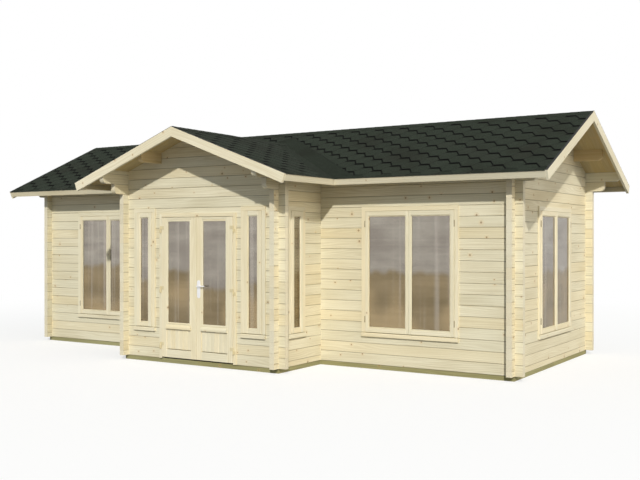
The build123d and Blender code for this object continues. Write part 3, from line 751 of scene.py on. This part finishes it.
def tab_mesh():
    bm = bmesh.new()
    bmesh.ops.create_circle(bm, cap_ends=True, segments=6, radius=1.0)
    bmesh.ops.rotate(bm, matrix=Matrix.Rotation(math.radians(90), 3, "Z"), verts=bm.verts)
    tall = (2 * ROW - TAB_GAP) / math.sqrt(3)
    wide = (TAB_WIDTH - TAB_GAP) / 2
    bmesh.ops.scale(bm, vec=(wide, tall, 1), verts=bm.verts)
    flat = [v for v in bm.verts if abs(v.co.y) > ROW / 2]
    bmesh.ops.scale(bm, vec=((TAB_FLAT - TAB_GAP) / wide, 1, 1), verts=flat)
    local = bm.verts.layers.float_vector.new("tab")
    for vert in bm.verts:
        vert[local] = vert.co
    top = moved_verts(bmesh.ops.extrude_face_region(bm, geom=list(bm.faces)))
    bmesh.ops.translate(bm, vec=(0, 0, TAB_THICK), verts=top)
    bmesh.ops.recalc_face_normals(bm, faces=bm.faces)
    for face in bm.faces:
        face.material_index = 0 if face.normal.z > 0.5 else 1
    return mesh_of("tab", bm)


tab = tab_mesh()
print("one tab has", len(tab.polygons), "faces")


# %% [markdown]
# A part of the roof gets its rows of tabs, cut off at the verges, the ridge, the eaves and along
# the valley. Below them lies a plain sheet, which shows as the smooth strip in each valley. Each
# part has its own phase, the place along the ridge where a row of tabs begins.


# %% Cover a slope
VALLEY_STRIP = 0.21
TAB_TIP = math.radians(0.9)
TAB_SINK = 0.0045
TAB_LIFT = 0.0004
SHEET_LOW, SHEET_TOP = -0.00645, -0.00395
OVER_RIDGE = 0.1


def bisect(bm, point, normal):
    for face in cut_off(bm, bm.verts[:] + bm.edges[:] + bm.faces[:], point, normal):
        face.material_index = 1


def cover_slope(part, phase, seed):
    """The tabs of one part, whose rows start at phase along the ridge."""
    slope = part.slope
    start, end = part.run(LAP)
    chance = random.Random(seed)
    bm = bmesh.new()
    tone = bm.faces.layers.float.new("tone")
    bm.verts.layers.float_vector.new("tab")
    eaves = slope.length - DRIP / math.cos(MAIN_PITCH)
    rows = int(slope.length / ROW) + 2
    tip = Matrix.Rotation(TAB_TIP, 4, "X")
    for row in range(-1, rows):
        middle = eaves - LAST_ROW - row * ROW - ROW
        first = phase + (row % 2) * TAB_PITCH / 2
        number = math.floor((start - first) / TAB_PITCH)
        while first + number * TAB_PITCH - TAB_WIDTH < end:
            u = first + number * TAB_PITCH
            number += 1
            before = len(bm.verts)
            faces_before = len(bm.faces)
            bm.from_mesh(tab)
            bm.verts.ensure_lookup_table()
            bm.faces.ensure_lookup_table()
            lift = chance.uniform(-TAB_LIFT, TAB_LIFT)
            where = slope.frame @ Matrix.Translation((u, middle, lift - TAB_SINK)) @ tip
            bmesh.ops.transform(bm, matrix=where, verts=bm.verts[before:])
            shade = chance.uniform(0.0, 1.0)
            for face in bm.faces[faces_before:]:
                face[tone] = shade
    along, down = slope.frame.col[0].xyz, slope.frame.col[1].xyz
    bisect(bm, slope.frame @ Vector((start, 0, 0)), -along)
    bisect(bm, slope.frame @ Vector((end, 0, 0)), along)
    bisect(bm, slope.frame @ Vector((0, slope.length, 0)), down)
    for plane in (slope.ridge_cut, *part.valley_cuts(VALLEY_STRIP)):
        bisect(bm, *plane)
    return bm


def add_sheet(bm, part):
    """The felt under the tabs: a thin slab with the outline of the part."""
    slab = bmesh.new()
    start, end = part.run(LAP)
    add_box(slab, (start, -OVER_RIDGE, SHEET_LOW), (end, part.slope.length, SHEET_TOP))
    bmesh.ops.transform(slab, matrix=part.slope.frame, verts=slab.verts)
    for plane in (part.slope.ridge_cut, *part.valley_cuts()):
        bisect(slab, *plane)
    for face in slab.faces:
        face.material_index = 2
    merge(bm, slab)


# %% Shingle the five parts
PHASE = 4.0625 % TAB_PITCH
PHASES = (PHASE, -PHASE, -PHASE, 0.11, 0.05)
for part, phase, seed in zip(PARTS, PHASES, range(11, 16)):
    bm = cover_slope(part, phase, seed)
    add_sheet(bm, part)
    bmesh.ops.recalc_face_normals(bm, faces=bm.faces)
    finishes = [shingle_tab, shingle_edge, shingle_sheet]
    make_object("shingles_" + part.name, bm, finishes, ["roof_cover_" + part.name])


# %% [markdown]
# A ridge is closed with short pieces of shingle bent over it, each lapping the one before. The
# bent section is a strip of three points, pulled along the ridge and thickened.


# %% Ridge caps
CAP_STEP = 0.145
CAP_LENGTH = 0.2
CAP_DOWN = 0.125
CAP_THICK = 0.003
CAP_LIFT = 0.0035
CAP_SLANT = 0.0028


def ridge_caps(name, start, end, axis, height, pitch, seed):
    """Caps along axis 0 or 1 between two places; they lap towards start."""
    bm = bmesh.new()
    tone = bm.faces.layers.float.new("tone")
    chance = random.Random(seed)
    way = 1 if end > start else -1
    count = math.ceil(abs(end - start) / CAP_STEP)
    step = abs(end - start) / count
    foot = CAP_DOWN * math.cos(pitch)
    drop = CAP_DOWN * math.sin(pitch)
    section = [(-foot, -drop), (0.0, 0.0), (foot, -drop)]
    for number in range(count):
        near = start + way * step * number
        far = near + way * min(CAP_LENGTH, abs(end - near))
        cap = bmesh.new()
        points = [cap.verts.new((near, side, rise + CAP_LIFT)) for side, rise in section]
        edges = [cap.edges.new(points[0:2]), cap.edges.new(points[1:3])]
        moved = moved_verts(bmesh.ops.extrude_edge_only(cap, edges=edges))
        bmesh.ops.translate(cap, vec=(far - near, 0, -CAP_SLANT), verts=moved)
        bmesh.ops.recalc_face_normals(cap, faces=cap.faces)
        bmesh.ops.solidify(cap, geom=cap.faces[:], thickness=CAP_THICK)
        if axis == 1:
            bmesh.ops.rotate(cap, matrix=Matrix.Rotation(math.radians(90), 3, "Z"), verts=cap.verts)
        bmesh.ops.translate(cap, vec=(0, 0, height), verts=cap.verts)
        bmesh.ops.recalc_face_normals(cap, faces=cap.faces)
        shade = chance.uniform(0.1, 0.9)
        for face in merge(bm, cap):
            face[tone] = shade
            face.material_index = 0 if face.normal.z > 0.5 else 1
    make_object(name, bm, [shingle_tab, shingle_edge])


ridge_caps("ridge_caps_main", -VERGE - LAP, VERGE + LAP, 0, MAIN_RIDGE, MAIN_PITCH, 21)
ridge_caps("ridge_caps_bay", -BAY_VERGE - LAP, MEET, 1, BAY_RIDGE, BAY_PITCH, 22)

# %% [markdown]
# Under the shingles lie tongued boards that run from ridge to eaves. They are seen from below at
# the overhangs and through the windows, as a row of fine V joints. They end behind the eaves
# boards.

# %% Roof boards
BOARD_FACE = 0.088
DECK_DEPTH = 0.021
DECK_OVER_RIDGE = 0.05
FASCIA_THICK = 0.02


def roof_boards(part, seed):
    slope = part.slope
    top = -COVER_DEPTH * math.cos(slope.pitch)
    low = top - DECK_DEPTH * math.cos(slope.pitch)
    foot = slope.up_from_foot(DRIP + FASCIA_THICK)
    start, end = part.run()
    count = round((end - start) / BOARD_FACE)
    face = (end - start) / count
    cuts = [slope.ridge_cut, *part.valley_cuts()]
    boards = Boards(seed)
    for number in range(count):
        u = start + number * face
        boards.board((u, -DECK_OVER_RIDGE, low), (u + face, foot, top), 1, slope.frame, 0.0025, cuts)
    boards.finish("boards_" + part.name, deck_wood, "roof_boards", ["roof_boards_" + part.name])


for part, seed in zip(PARTS, range(31, 36)):
    roof_boards(part, seed)


# %% [markdown]
# Two bargeboards meet over each gable with an upright joint, and their feet are cut square. They
# are made in the frame of their slope, so a plain board already lies at the right angle, and one
# cut through the ridge gives the joint. A strip of black felt lies over their top edge, against
# the shingles.

# %% Bargeboards
BARGE_WIDTH = 0.117
BARGE_TOP = -0.003
FACE_OUT = 0.014
STRIP_WIDTH = 0.03
STRIP_TOP = 0.0015
STRIP_IN = 0.001


def along_gable(boards, gables, shift, low_z, high_z, ease):
    """One board down each slope in gables; shift moves its two faces along the ridge."""
    for name, inner_face, out in gables:
        slope = SLOPES[name]
        near, far = sorted(inner_face + out * part for part in shift)
        low = (near, -BARGE_WIDTH, low_z)
        high = (far, slope.up_from_foot(DRIP) + FACE_OUT, high_z)
        boards.board(low, high, 1, slope.frame, ease, [slope.ridge_cut])


def bargeboards(name, gables, seed):
    """gables lists a slope, the place of the board's inner face along its ridge, and the way out."""
    boards = Boards(seed)
    along_gable(boards, gables, (0, TRIM_THICK), BARGE_TOP - BARGE_WIDTH, BARGE_TOP, 0.002)
    boards.finish("barge_boards_" + name, trim, "trim_wood", [name + "_bargeboards"])
    strips = Boards(seed)
    edge = (TRIM_THICK - STRIP_WIDTH, TRIM_THICK - STRIP_IN)
    along_gable(strips, gables, edge, BARGE_TOP, STRIP_TOP, 0.0008)
    strips.finish("verge_strips_" + name, shingle_edge, "shingles")


bargeboards("main", [(slope, way * VERGE, way) for slope in ("front", "rear") for way in (-1, 1)], 36)
bargeboards("bay", [("bay_right", BAY_VERGE, 1), ("bay_left", -BAY_VERGE, -1)], 37)


# %% [markdown]
# The eaves boards are nailed to the ends of the roof boards, square to the slope, so they lean
# back at the foot. At each inside corner the bay's board runs through and the main one butts
# against it. Long runs are made from two boards.

# %% Eaves boards
FASCIA_HEIGHT = 0.084
FASCIA_JOINT = 2.73
CORNER_RUN = 0.06


def eaves_line(slope):
    """Down-slope place of an eaves board's outer face, and the height of its top."""
    face = slope.up_from_foot(DRIP) + COVER_DEPTH * math.sin(slope.pitch) + FACE_OUT
    return face, -COVER_DEPTH * math.cos(slope.pitch)


def eaves_boards(name, runs, seed):
    """runs lists a slope, the places where its boards meet, and the cuts at its ends."""
    boards = Boards(seed)
    for key, joints, cuts in runs:
        slope = SLOPES[key]
        face, top = eaves_line(slope)
        for start, end in zip(joints, joints[1:]):
            low = (start, face - FASCIA_THICK, top - FASCIA_HEIGHT)
            boards.board(low, (end, face, top), 0, slope.frame, 0.0015, cuts)
    boards.finish("eaves_boards_" + name, trim, "trim_wood", [name + "_fascias"])


def face_cut(key, back=0.0):
    """Plane of an eaves board's face, or back behind it; takes off what lies behind."""
    slope = SLOPES[key]
    face, top = eaves_line(slope)
    return [(slope.frame @ Vector((0, face - back, top)), -slope.down)]


inner = BAY_RUN - DRIP - CORNER_RUN
main_runs = [
    ("rear", (-VERGE, -FASCIA_JOINT, 0.0, FASCIA_JOINT, VERGE), ()),
    ("front", (-VERGE, -FASCIA_JOINT, -inner), face_cut("bay_right")),
    ("front", (inner, FASCIA_JOINT, VERGE), face_cut("bay_left")),
]
eaves_boards("main", main_runs, 38)
bay_start = MAIN_RUN - DRIP - CORNER_RUN
behind_main = face_cut("front", FASCIA_THICK)
bay_runs = [
    ("bay_right", (bay_start, BAY_VERGE), behind_main),
    ("bay_left", (-BAY_VERGE, -bay_start), behind_main),
]
eaves_boards("bay", bay_runs, 39)

# %% [markdown]
# The floor is laid with the same kind of board, lengthwise, with a fine joint between boards.


# %% Floor boards
def floor_boards(name, seed):
    low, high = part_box(name + "_floor")
    count = round((high.y - low.y) / BOARD_FACE)
    face = (high.y - low.y) / count
    boards = Boards(seed)
    for number in range(count):
        y = low.y + number * face
        boards.board((low.x, y, low.z), (high.x, y + face, high.z), 0, ease=0.0012)
    boards.finish("floor_boards_" + name, floor_wood, "floor_boards", [name + "_floor"])


floor_boards("main", 41)
floor_boards("bay", 42)

# %% [markdown]
# A casement window is a lining through the logs, flat casings that cover the joint outside and
# in, a sill with a rounded nose, and the sashes. All members are separate boards with butt
# joints, so the grain changes direction at each corner as it does on the real thing.

# %% Window sizes
window_low, window_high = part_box("end_window_sashes")
SASH_LOW = window_low.z
SASH_HIGH = window_high.z
SASH_PROUD = 0.028
SASH_THICK = 0.04
SASH_GAP = 0.003
STILE = 0.057
MEETING_STILE = 0.046
NARROW_STILE = 0.068
RAIL = 0.07
LINING = 0.025
CASING = 0.055
CASING_THICK = 0.02
INNER_CASING = 0.015
SASH_STOP = 0.012
SILL_OUT = 0.03
SILL_LIP = 0.044
SILL_DROP = 0.006
GLASS_BACK = -0.01
BEAD = 0.011
print("sashes", round(SASH_LOW, 3), "to", round(SASH_HIGH, 3))


# %% Four members round an opening
def ring(boards, half, low, high, width, y0, y1, place, ease=0.0015, closed=True):
    """Upright members over the full height, and level ones between them; closed adds the lower one."""
    between = half - width
    boards.board((-half, y0, low), (-between, y1, high), 2, place, ease)
    boards.board((between, y0, low), (half, y1, high), 2, place, ease)
    boards.board((-between, y0, high - width), (between, y1, high), 0, place, ease)
    if closed:
        boards.board((-between, y0, low), (between, y1, low + width), 0, place, ease)


def window_frame(boards, sash_width, place):
    half = sash_width / 2 + SASH_GAP
    low, high = SASH_LOW - SASH_GAP, SASH_HIGH + SASH_GAP
    outer, foot, top = half + CASING, low - CASING, high + CASING
    ring(boards, half + LINING, low - LINING, high + LINING, LINING, 0, LOG_THICK, place)
    ring(boards, half, low, high, SASH_STOP, SASH_THICK - SASH_PROUD, LOG_THICK, place)
    ring(boards, outer, foot, top, CASING, LOG_THICK, LOG_THICK + INNER_CASING, place, 0.002)
    boards.board((-outer, -CASING_THICK, low), (-half, 0, high), 2, place, 0.002)
    boards.board((half, -CASING_THICK, low), (outer, 0, high), 2, place, 0.002)
    boards.board((-outer, -CASING_THICK, high), (outer, 0, top), 0, place, 0.002)
    rise = low - SILL_DROP
    sill = [(0, foot), (-SILL_OUT, foot), (-SILL_OUT, foot + SILL_LIP), (-CASING_THICK, rise), (0, rise)]
    boards.moulding(sill, -outer, outer, place, [(2, 0.005)])


def sash(boards, width, left, right, place):
    """Two stiles, two rails and a bead round the glass."""
    half = width / 2
    front, back = -SASH_PROUD, SASH_THICK - SASH_PROUD
    start = left - BEAD - half
    end = half - right + BEAD
    low = SASH_LOW + RAIL - BEAD
    high = SASH_HIGH - RAIL + BEAD
    boards.board((-half, front, SASH_LOW), (start, back, SASH_HIGH), 2, place, 0.003)
    boards.board((end, front, SASH_LOW), (half, back, SASH_HIGH), 2, place, 0.003)
    boards.board((start, front, high), (end, back, SASH_HIGH), 0, place, 0.003)
    boards.board((start, front, SASH_LOW), (end, back, low), 0, place, 0.003)
    middle = place @ Matrix.Translation(((start + end) / 2, 0, 0))
    opening = (end - start) / 2
    ring(boards, opening, low, high, BEAD, GLASS_BACK - BEAD, GLASS_BACK, middle, 0.004)


# %% [markdown]
# Each wall sees its windows from its own front, so a window is made once in plain coordinates
# and set against its wall with a matrix.


# %% Set the windows in the walls
def wall_place(x, y, turn):
    return Matrix.Translation((x, y, 0)) @ Matrix.Rotation(math.radians(turn), 4, "Z")


NARROW = 0.266
SIDELIGHT_X = 0.9243
SIDE_WINDOW_IN = 0.385
SASH_PAIR = window_high.y - window_low.y
FRONT_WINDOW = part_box("front_window_sashes")[1].x - SASH_PAIR / 2
front_places = [wall_place(x, -HOUSE_BACK, 0) for x in (-FRONT_WINDOW, FRONT_WINDOW)]
end_places = [wall_place(side * HOUSE_SIDE, 0, side * 90) for side in (-1, 1)]
narrow_places = [wall_place(x, BAY_FRONT, 0) for x in (-SIDELIGHT_X, SIDELIGHT_X)]
narrow_places += [wall_place(side * BAY_SIDE, BAY_FRONT + SIDE_WINDOW_IN, side * 90) for side in (-1, 1)]


def window_pieces(name, places, width, sashes, seed):
    """Each sash is its centre, its width and the widths of its two stiles."""
    frames = Boards(seed)
    leaves = Boards(seed + 1)
    for place in places:
        window_frame(frames, width, place)
        for centre, wide, left, right in sashes:
            sash(leaves, wide, left, right, place @ Matrix.Translation((centre, 0, 0)))
    frames.finish(name + "_casings", joinery, "joinery", [name + "_frames"])
    leaves.finish(name + "_leaves", joinery, "joinery", [name + "_sashes"])


single = (SASH_PAIR - SASH_GAP) / 2
aside = (single + SASH_GAP) / 2
pair = [(-aside, single, STILE, MEETING_STILE), (aside, single, MEETING_STILE, STILE)]
window_pieces("front_window", front_places, SASH_PAIR, pair, 51)
window_pieces("end_window", end_places, SASH_PAIR, pair, 53)
window_pieces("bay_window", narrow_places, NARROW, [(0.0, NARROW, NARROW_STILE, NARROW_STILE)], 55)

# %% [markdown]
# The doorway has posts and a head like a window frame, but no sill. Each leaf is framed from
# stiles and rails round a tall pane, with upright boards below and a moulded rail between that
# throws rain clear of them. The leaf is made for the right side and mirrored for the left.

# %% Doorway
FRAME_HALF_OUT = 0.6535
FRAME_TOP = 2.01
DOOR_CASING = 0.045
DOOR_CASING_THICK = 0.018
DOOR_STOP = 0.015
DOOR_GAP = 0.005
LEAF_THICK = 0.04
LEAF_PROUD = 0.024
leaf_front, leaf_back = -LEAF_PROUD, LEAF_THICK - LEAF_PROUD
frame_inner = FRAME_HALF_OUT - DOOR_CASING
frame_head = FRAME_TOP - DOOR_CASING
doorway = wall_place(0, BAY_FRONT, 0)
door_posts = Boards(61)
floor_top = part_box("bay_floor")[1].z
inside = LOG_THICK + INNER_CASING
for half, foot, top, width, y0, y1, ease in (
    (FRAME_HALF_OUT, LOG_FOOT, FRAME_TOP, DOOR_CASING, -DOOR_CASING_THICK, 0, 0.002),
    (frame_inner + LINING, LOG_FOOT, frame_head + LINING, LINING, 0, LOG_THICK, 0.001),
    (frame_inner, LOG_FOOT, frame_head, DOOR_STOP, leaf_back + DOOR_GAP, LOG_THICK, 0.0015),
    (FRAME_HALF_OUT, floor_top, FRAME_TOP, DOOR_CASING, LOG_THICK, inside, 0.002),
):
    ring(door_posts, half, foot, top, width, y0, y1, doorway, ease, closed=False)
door_posts.finish("door_posts", joinery, "joinery", ["door_frame"])

# %% Door leaf sizes
leaf_low, leaf_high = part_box("door_right")
pane_low, pane_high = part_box("door_glass_right")
INTO_SASH = 0.008
GLAZING_FRAME = 0.025
LEAF_IN, LEAF_OUT = leaf_low.x, leaf_high.x
LEAF_FOOT, LEAF_HEAD = leaf_low.z, leaf_high.z
LIGHT_IN, LIGHT_OUT = pane_low.x + INTO_SASH, pane_high.x - INTO_SASH
LIGHT_FOOT, LIGHT_HEAD = pane_low.z + INTO_SASH, pane_high.z - INTO_SASH
PANEL_IN, PANEL_OUT = LIGHT_IN - GLAZING_FRAME, LIGHT_OUT + GLAZING_FRAME
PANEL_FOOT, PANEL_HEAD = 0.186, 0.463
PANEL_BOARD = 0.08
PANEL_THICK = 0.022
PANEL_SLOT = 0.008
DRIP_OUT = 0.018
DRIP_HEIGHT = 0.06
DRIP_FALL = 0.028
print("leaf", round(LEAF_IN, 4), "to", round(LEAF_OUT, 4), "pane", round(LIGHT_FOOT, 3), round(LIGHT_HEAD, 3))


# %% One leaf
def door_leaf(hand, seed):
    boards = Boards(seed)
    low, high = LIGHT_FOOT - GLAZING_FRAME, LIGHT_HEAD + GLAZING_FRAME
    for x0, x1, z0, z1, along, ease in (
        (LEAF_IN, PANEL_IN, LEAF_FOOT, LEAF_HEAD, 2, 0.003),
        (PANEL_OUT, LEAF_OUT, LEAF_FOOT, LEAF_HEAD, 2, 0.003),
        (PANEL_IN, PANEL_OUT, high, LEAF_HEAD, 0, 0.003),
        (PANEL_IN, PANEL_OUT, PANEL_HEAD, low, 0, 0.002),
        (PANEL_IN, PANEL_OUT, LEAF_FOOT, PANEL_FOOT, 0, 0.003),
    ):
        boards.board((x0, leaf_front, z0), (x1, leaf_back, z1), along, doorway, ease)
    wide = PANEL_OUT - PANEL_IN
    centre = doorway @ Matrix.Translation(((PANEL_IN + PANEL_OUT) / 2, 0, 0))
    ring(boards, wide / 2, low, high, GLAZING_FRAME, leaf_front, leaf_back, centre, 0.004)
    count = int(wide / PANEL_BOARD) + 1
    middle = (leaf_front + leaf_back) / 2
    for number in range(count):
        x = PANEL_IN + number * wide / count
        start = (x, middle - PANEL_THICK / 2, PANEL_FOOT + PANEL_SLOT)
        end = (x + wide / count, middle + PANEL_THICK / 2, PANEL_HEAD)
        boards.board(start, end, 2, doorway, 0.005)
    top = PANEL_HEAD + DRIP_HEIGHT
    nose = leaf_front - DRIP_OUT
    outline = [(leaf_front, PANEL_HEAD), (nose, PANEL_HEAD), (nose, top - DRIP_FALL), (leaf_front, top)]
    boards.moulding(outline, PANEL_IN, PANEL_OUT, doorway, [(2, 0.012), (1, 0.004)])
    if hand == "left":
        bmesh.ops.scale(boards.bm, vec=(-1, 1, 1), verts=boards.bm.verts)
    name = "door_leaf_boards_" + hand
    boards.finish(name, joinery, "joinery", ["door_" + hand], "door_leaf_" + hand)


door_leaf("right", 63)
door_leaf("left", 64)

# %% [markdown]
# The handle is a lever on a long plate with a lock cylinder below, on both faces of the leaf.
# The plate has full round ends, made by bevelling a box's corners all the way, and the lever is
# a rod with a round tip.


# %% Handle
handle_low, handle_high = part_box("door_handle")
LEVER_Z = 1.053
MODEL_PLATE, PLATE_WIDTH = 0.046, 0.055
PLATE_X = handle_low.x + MODEL_PLATE / 2
PLATE_THICK = 0.003
LEVER_OUT = 0.036
LEVER_RISE = 0.002
LEVER_RADIUS, NECK_RADIUS, ROSE_RADIUS = 0.0085, 0.009, 0.0145
ROSE_OUT = 0.008
KEY_Z = LEVER_Z - 0.085
KEY_RADIUS, KEY_OUT = 0.0085, 0.004
SLOT_HALF_WIDE, SLOT_HALF_TALL, SLOT_OUT = 0.0012, 0.005, 0.0046
SUNK = 0.001


def rod(bm, start, end, radius, segments=16):
    start, end = Vector(start), Vector(end)
    way = end - start
    turn = way.to_track_quat("Z", "Y").to_matrix().to_4x4()
    matrix = Matrix.Translation((start + end) / 2) @ turn
    bmesh.ops.create_cone(
        bm, cap_ends=True, segments=segments, radius1=radius, radius2=radius, depth=way.length, matrix=matrix
    )


def box_out(bm, half, z0, z1, y0, y1):
    """A box about the middle of the plate, from z0 to z1, between two depths in either order."""
    return add_box(bm, (PLATE_X - half, min(y0, y1), z0), (PLATE_X + half, max(y0, y1), z1))


def handle_side(bm, face, out):
    """Plate, rose, neck, lever and lock on one face of the leaf; out is the way out of it."""
    front = face + out * PLATE_THICK
    verts = box_out(bm, PLATE_WIDTH / 2, handle_low.z, handle_high.z, face, front)
    corners = [e for e in edges_of(verts) if abs(e.verts[0].co.y - e.verts[1].co.y) > PLATE_THICK / 2]
    ease_edges(bm, corners, PLATE_WIDTH * 0.49, 6)
    for z, y0, y1, radius, segments in (
        (LEVER_Z, front - out * SUNK, front + out * ROSE_OUT, ROSE_RADIUS, 24),
        (LEVER_Z, front, face + out * (LEVER_OUT + NECK_RADIUS), NECK_RADIUS, 16),
        (KEY_Z, front - out * SUNK, front + out * KEY_OUT, KEY_RADIUS, 20),
    ):
        rod(bm, (PLATE_X, y0, z), (PLATE_X, y1, z), radius, segments)
    reach = face + out * LEVER_OUT
    tip = (handle_high.x - LEVER_RADIUS, reach, LEVER_Z + LEVER_RISE)
    rod(bm, (PLATE_X, reach, LEVER_Z), tip, LEVER_RADIUS)
    place = Matrix.Translation(tip)
    bmesh.ops.create_uvsphere(bm, u_segments=16, v_segments=8, radius=LEVER_RADIUS, matrix=place)
    box_out(bm, SLOT_HALF_WIDE, KEY_Z - SLOT_HALF_TALL, KEY_Z + SLOT_HALF_TALL, front, front + out * SLOT_OUT)


handle = bmesh.new()
handle_side(handle, leaf_front, -1)
handle_side(handle, leaf_back, 1)
bmesh.ops.transform(handle, matrix=doorway, verts=handle.verts)
bmesh.ops.recalc_face_normals(handle, faces=handle.faces)
make_object("lever_handle", handle, [steel], ["door_handle"], "door_leaf_right", 35)

# %% [markdown]
# Casement sashes hang on small screw-in hinges, a barrel at the top and bottom of each outer
# stile. They show as short dark marks at the edge of the sash. A barrel has two halves on a pin.


# %% Window hinges
HINGE_FROM_END = 0.162
HINGE_LENGTH = 0.08
HINGE_RADIUS = 0.0045
HINGE_ASIDE = 0.006
HINGE_PARTS = (
    (-0.5, -0.012, HINGE_RADIUS, 12),
    (0.012, 0.5, HINGE_RADIUS, 12),
    (-0.1, 0.1, HINGE_RADIUS * 0.7, 8),
)


def window_hinges(name, places):
    bm = bmesh.new()
    half = SASH_PAIR / 2 + HINGE_ASIDE
    y = -CASING_THICK - HINGE_RADIUS
    heights = (SASH_LOW + HINGE_FROM_END, SASH_HIGH - HINGE_FROM_END)
    spots = [(place, side * half, height) for place in places for side in (-1, 1) for height in heights]
    for place, x, height in spots:
        for start, end, radius, segments in HINGE_PARTS:
            low, high = (place @ Vector((x, y, height + share * HINGE_LENGTH)) for share in (start, end))
            rod(bm, low, high, radius, segments)
    bmesh.ops.recalc_face_normals(bm, faces=bm.faces)
    make_object(name, bm, [dull_zinc], smooth=40)


window_hinges("window_hinges", front_places + end_places)

# %% [markdown]
# The stage is a pale floor that runs out to white, one sun from the front right, a soft warm
# light from the right, and an even sky. Only what the camera sees of the floor and sky is lifted
# to white; the light on the cabin is untouched.


# %% Floor
FLOOR_HALF = 120.0
FADE_START, FADE_END = 5.0, 14.0
FLOOR_LIT, FLOOR_SEEN = (0.27, 0.27, 0.27, 1.0), (0.97, 0.97, 0.97, 1.0)
WHITE = (1.0, 1.0, 1.0, 1.0)


def floor_finish():
    finish = Finish("pale_floor")
    x, y, z = finish.place()
    far = (x * x + y * y).math("SQRT")
    seen = finish.seen()
    colour = finish.mix(seen, FLOOR_LIT, FLOOR_SEEN)
    diffuse = finish.node("BsdfDiffuse", {"Color": colour})
    white = finish.node("Emission", {"Color": WHITE, "Strength": 1.0})
    lift = finish.step(far, FADE_START, FADE_END) * 0.4 + 0.6
    sockets = {"Fac": seen * lift, 1: diffuse, 2: white}
    return finish.output("Material", finish.node("MixShader", sockets))


floor_bm = bmesh.new()
bmesh.ops.create_grid(floor_bm, x_segments=1, y_segments=1, size=FLOOR_HALF)
floor_mesh = mesh_of("floor", floor_bm)
floor_mesh.materials.append(floor_finish())
floor = add_object("floor", floor_mesh)


# %% Sun and sky
SUN_WAY, SUN_COLOUR = (0.45, -0.72, 0.5), (1.0, 0.965, 0.9)
FILL_WAY, FILL_COLOUR = (0.95, -0.12, 0.22), (1.0, 0.88, 0.72)
SKY_COLOUR = (0.88, 0.95, 1.0, 1.0)


def add_sun(name, energy, degrees, colour, towards):
    """A distant light; towards points to it, and degrees is how wide it looks."""
    light = bpy.data.lights.new(name, "SUN")
    light.energy = energy
    light.angle = math.radians(degrees)
    light.color = colour
    add_object(name, light).rotation_euler = Vector(towards).to_track_quat("Z", "Y").to_euler()


def sky_finish():
    sky = Finish("sky", "worlds")
    light = sky.node("Background", {"Color": SKY_COLOUR, "Strength": 0.45})
    white = sky.node("Background", {"Color": WHITE, "Strength": 1.0})
    return sky.output("World", sky.node("MixShader", {"Fac": sky.seen(), 1: light, 2: white}))


add_sun("sun", 2.9, 1.5, SUN_COLOUR, SUN_WAY)
add_sun("fill", 1.12, 40, FILL_COLOUR, FILL_WAY)
bpy.context.scene.world = sky_finish()
bpy.context.scene.view_settings.view_transform = "Standard"

# %% [markdown]
# The camera stands at eye height in front of the right-hand corner, with a normal lens.

# %% Camera
CAMERA_PLACE = (7.641, -11.523, 1.695)
CAMERA_DOWN, CAMERA_TURN = 0.175, 32.33
camera = bpy.data.cameras.new("camera")
camera.lens = 50.0
camera.sensor_width = 36.0
camera_object = add_object("camera", camera)
camera_object.location = CAMERA_PLACE
camera_object.rotation_euler = (math.radians(90 - CAMERA_DOWN), 0, math.radians(CAMERA_TURN))
bpy.context.scene.camera = camera_object
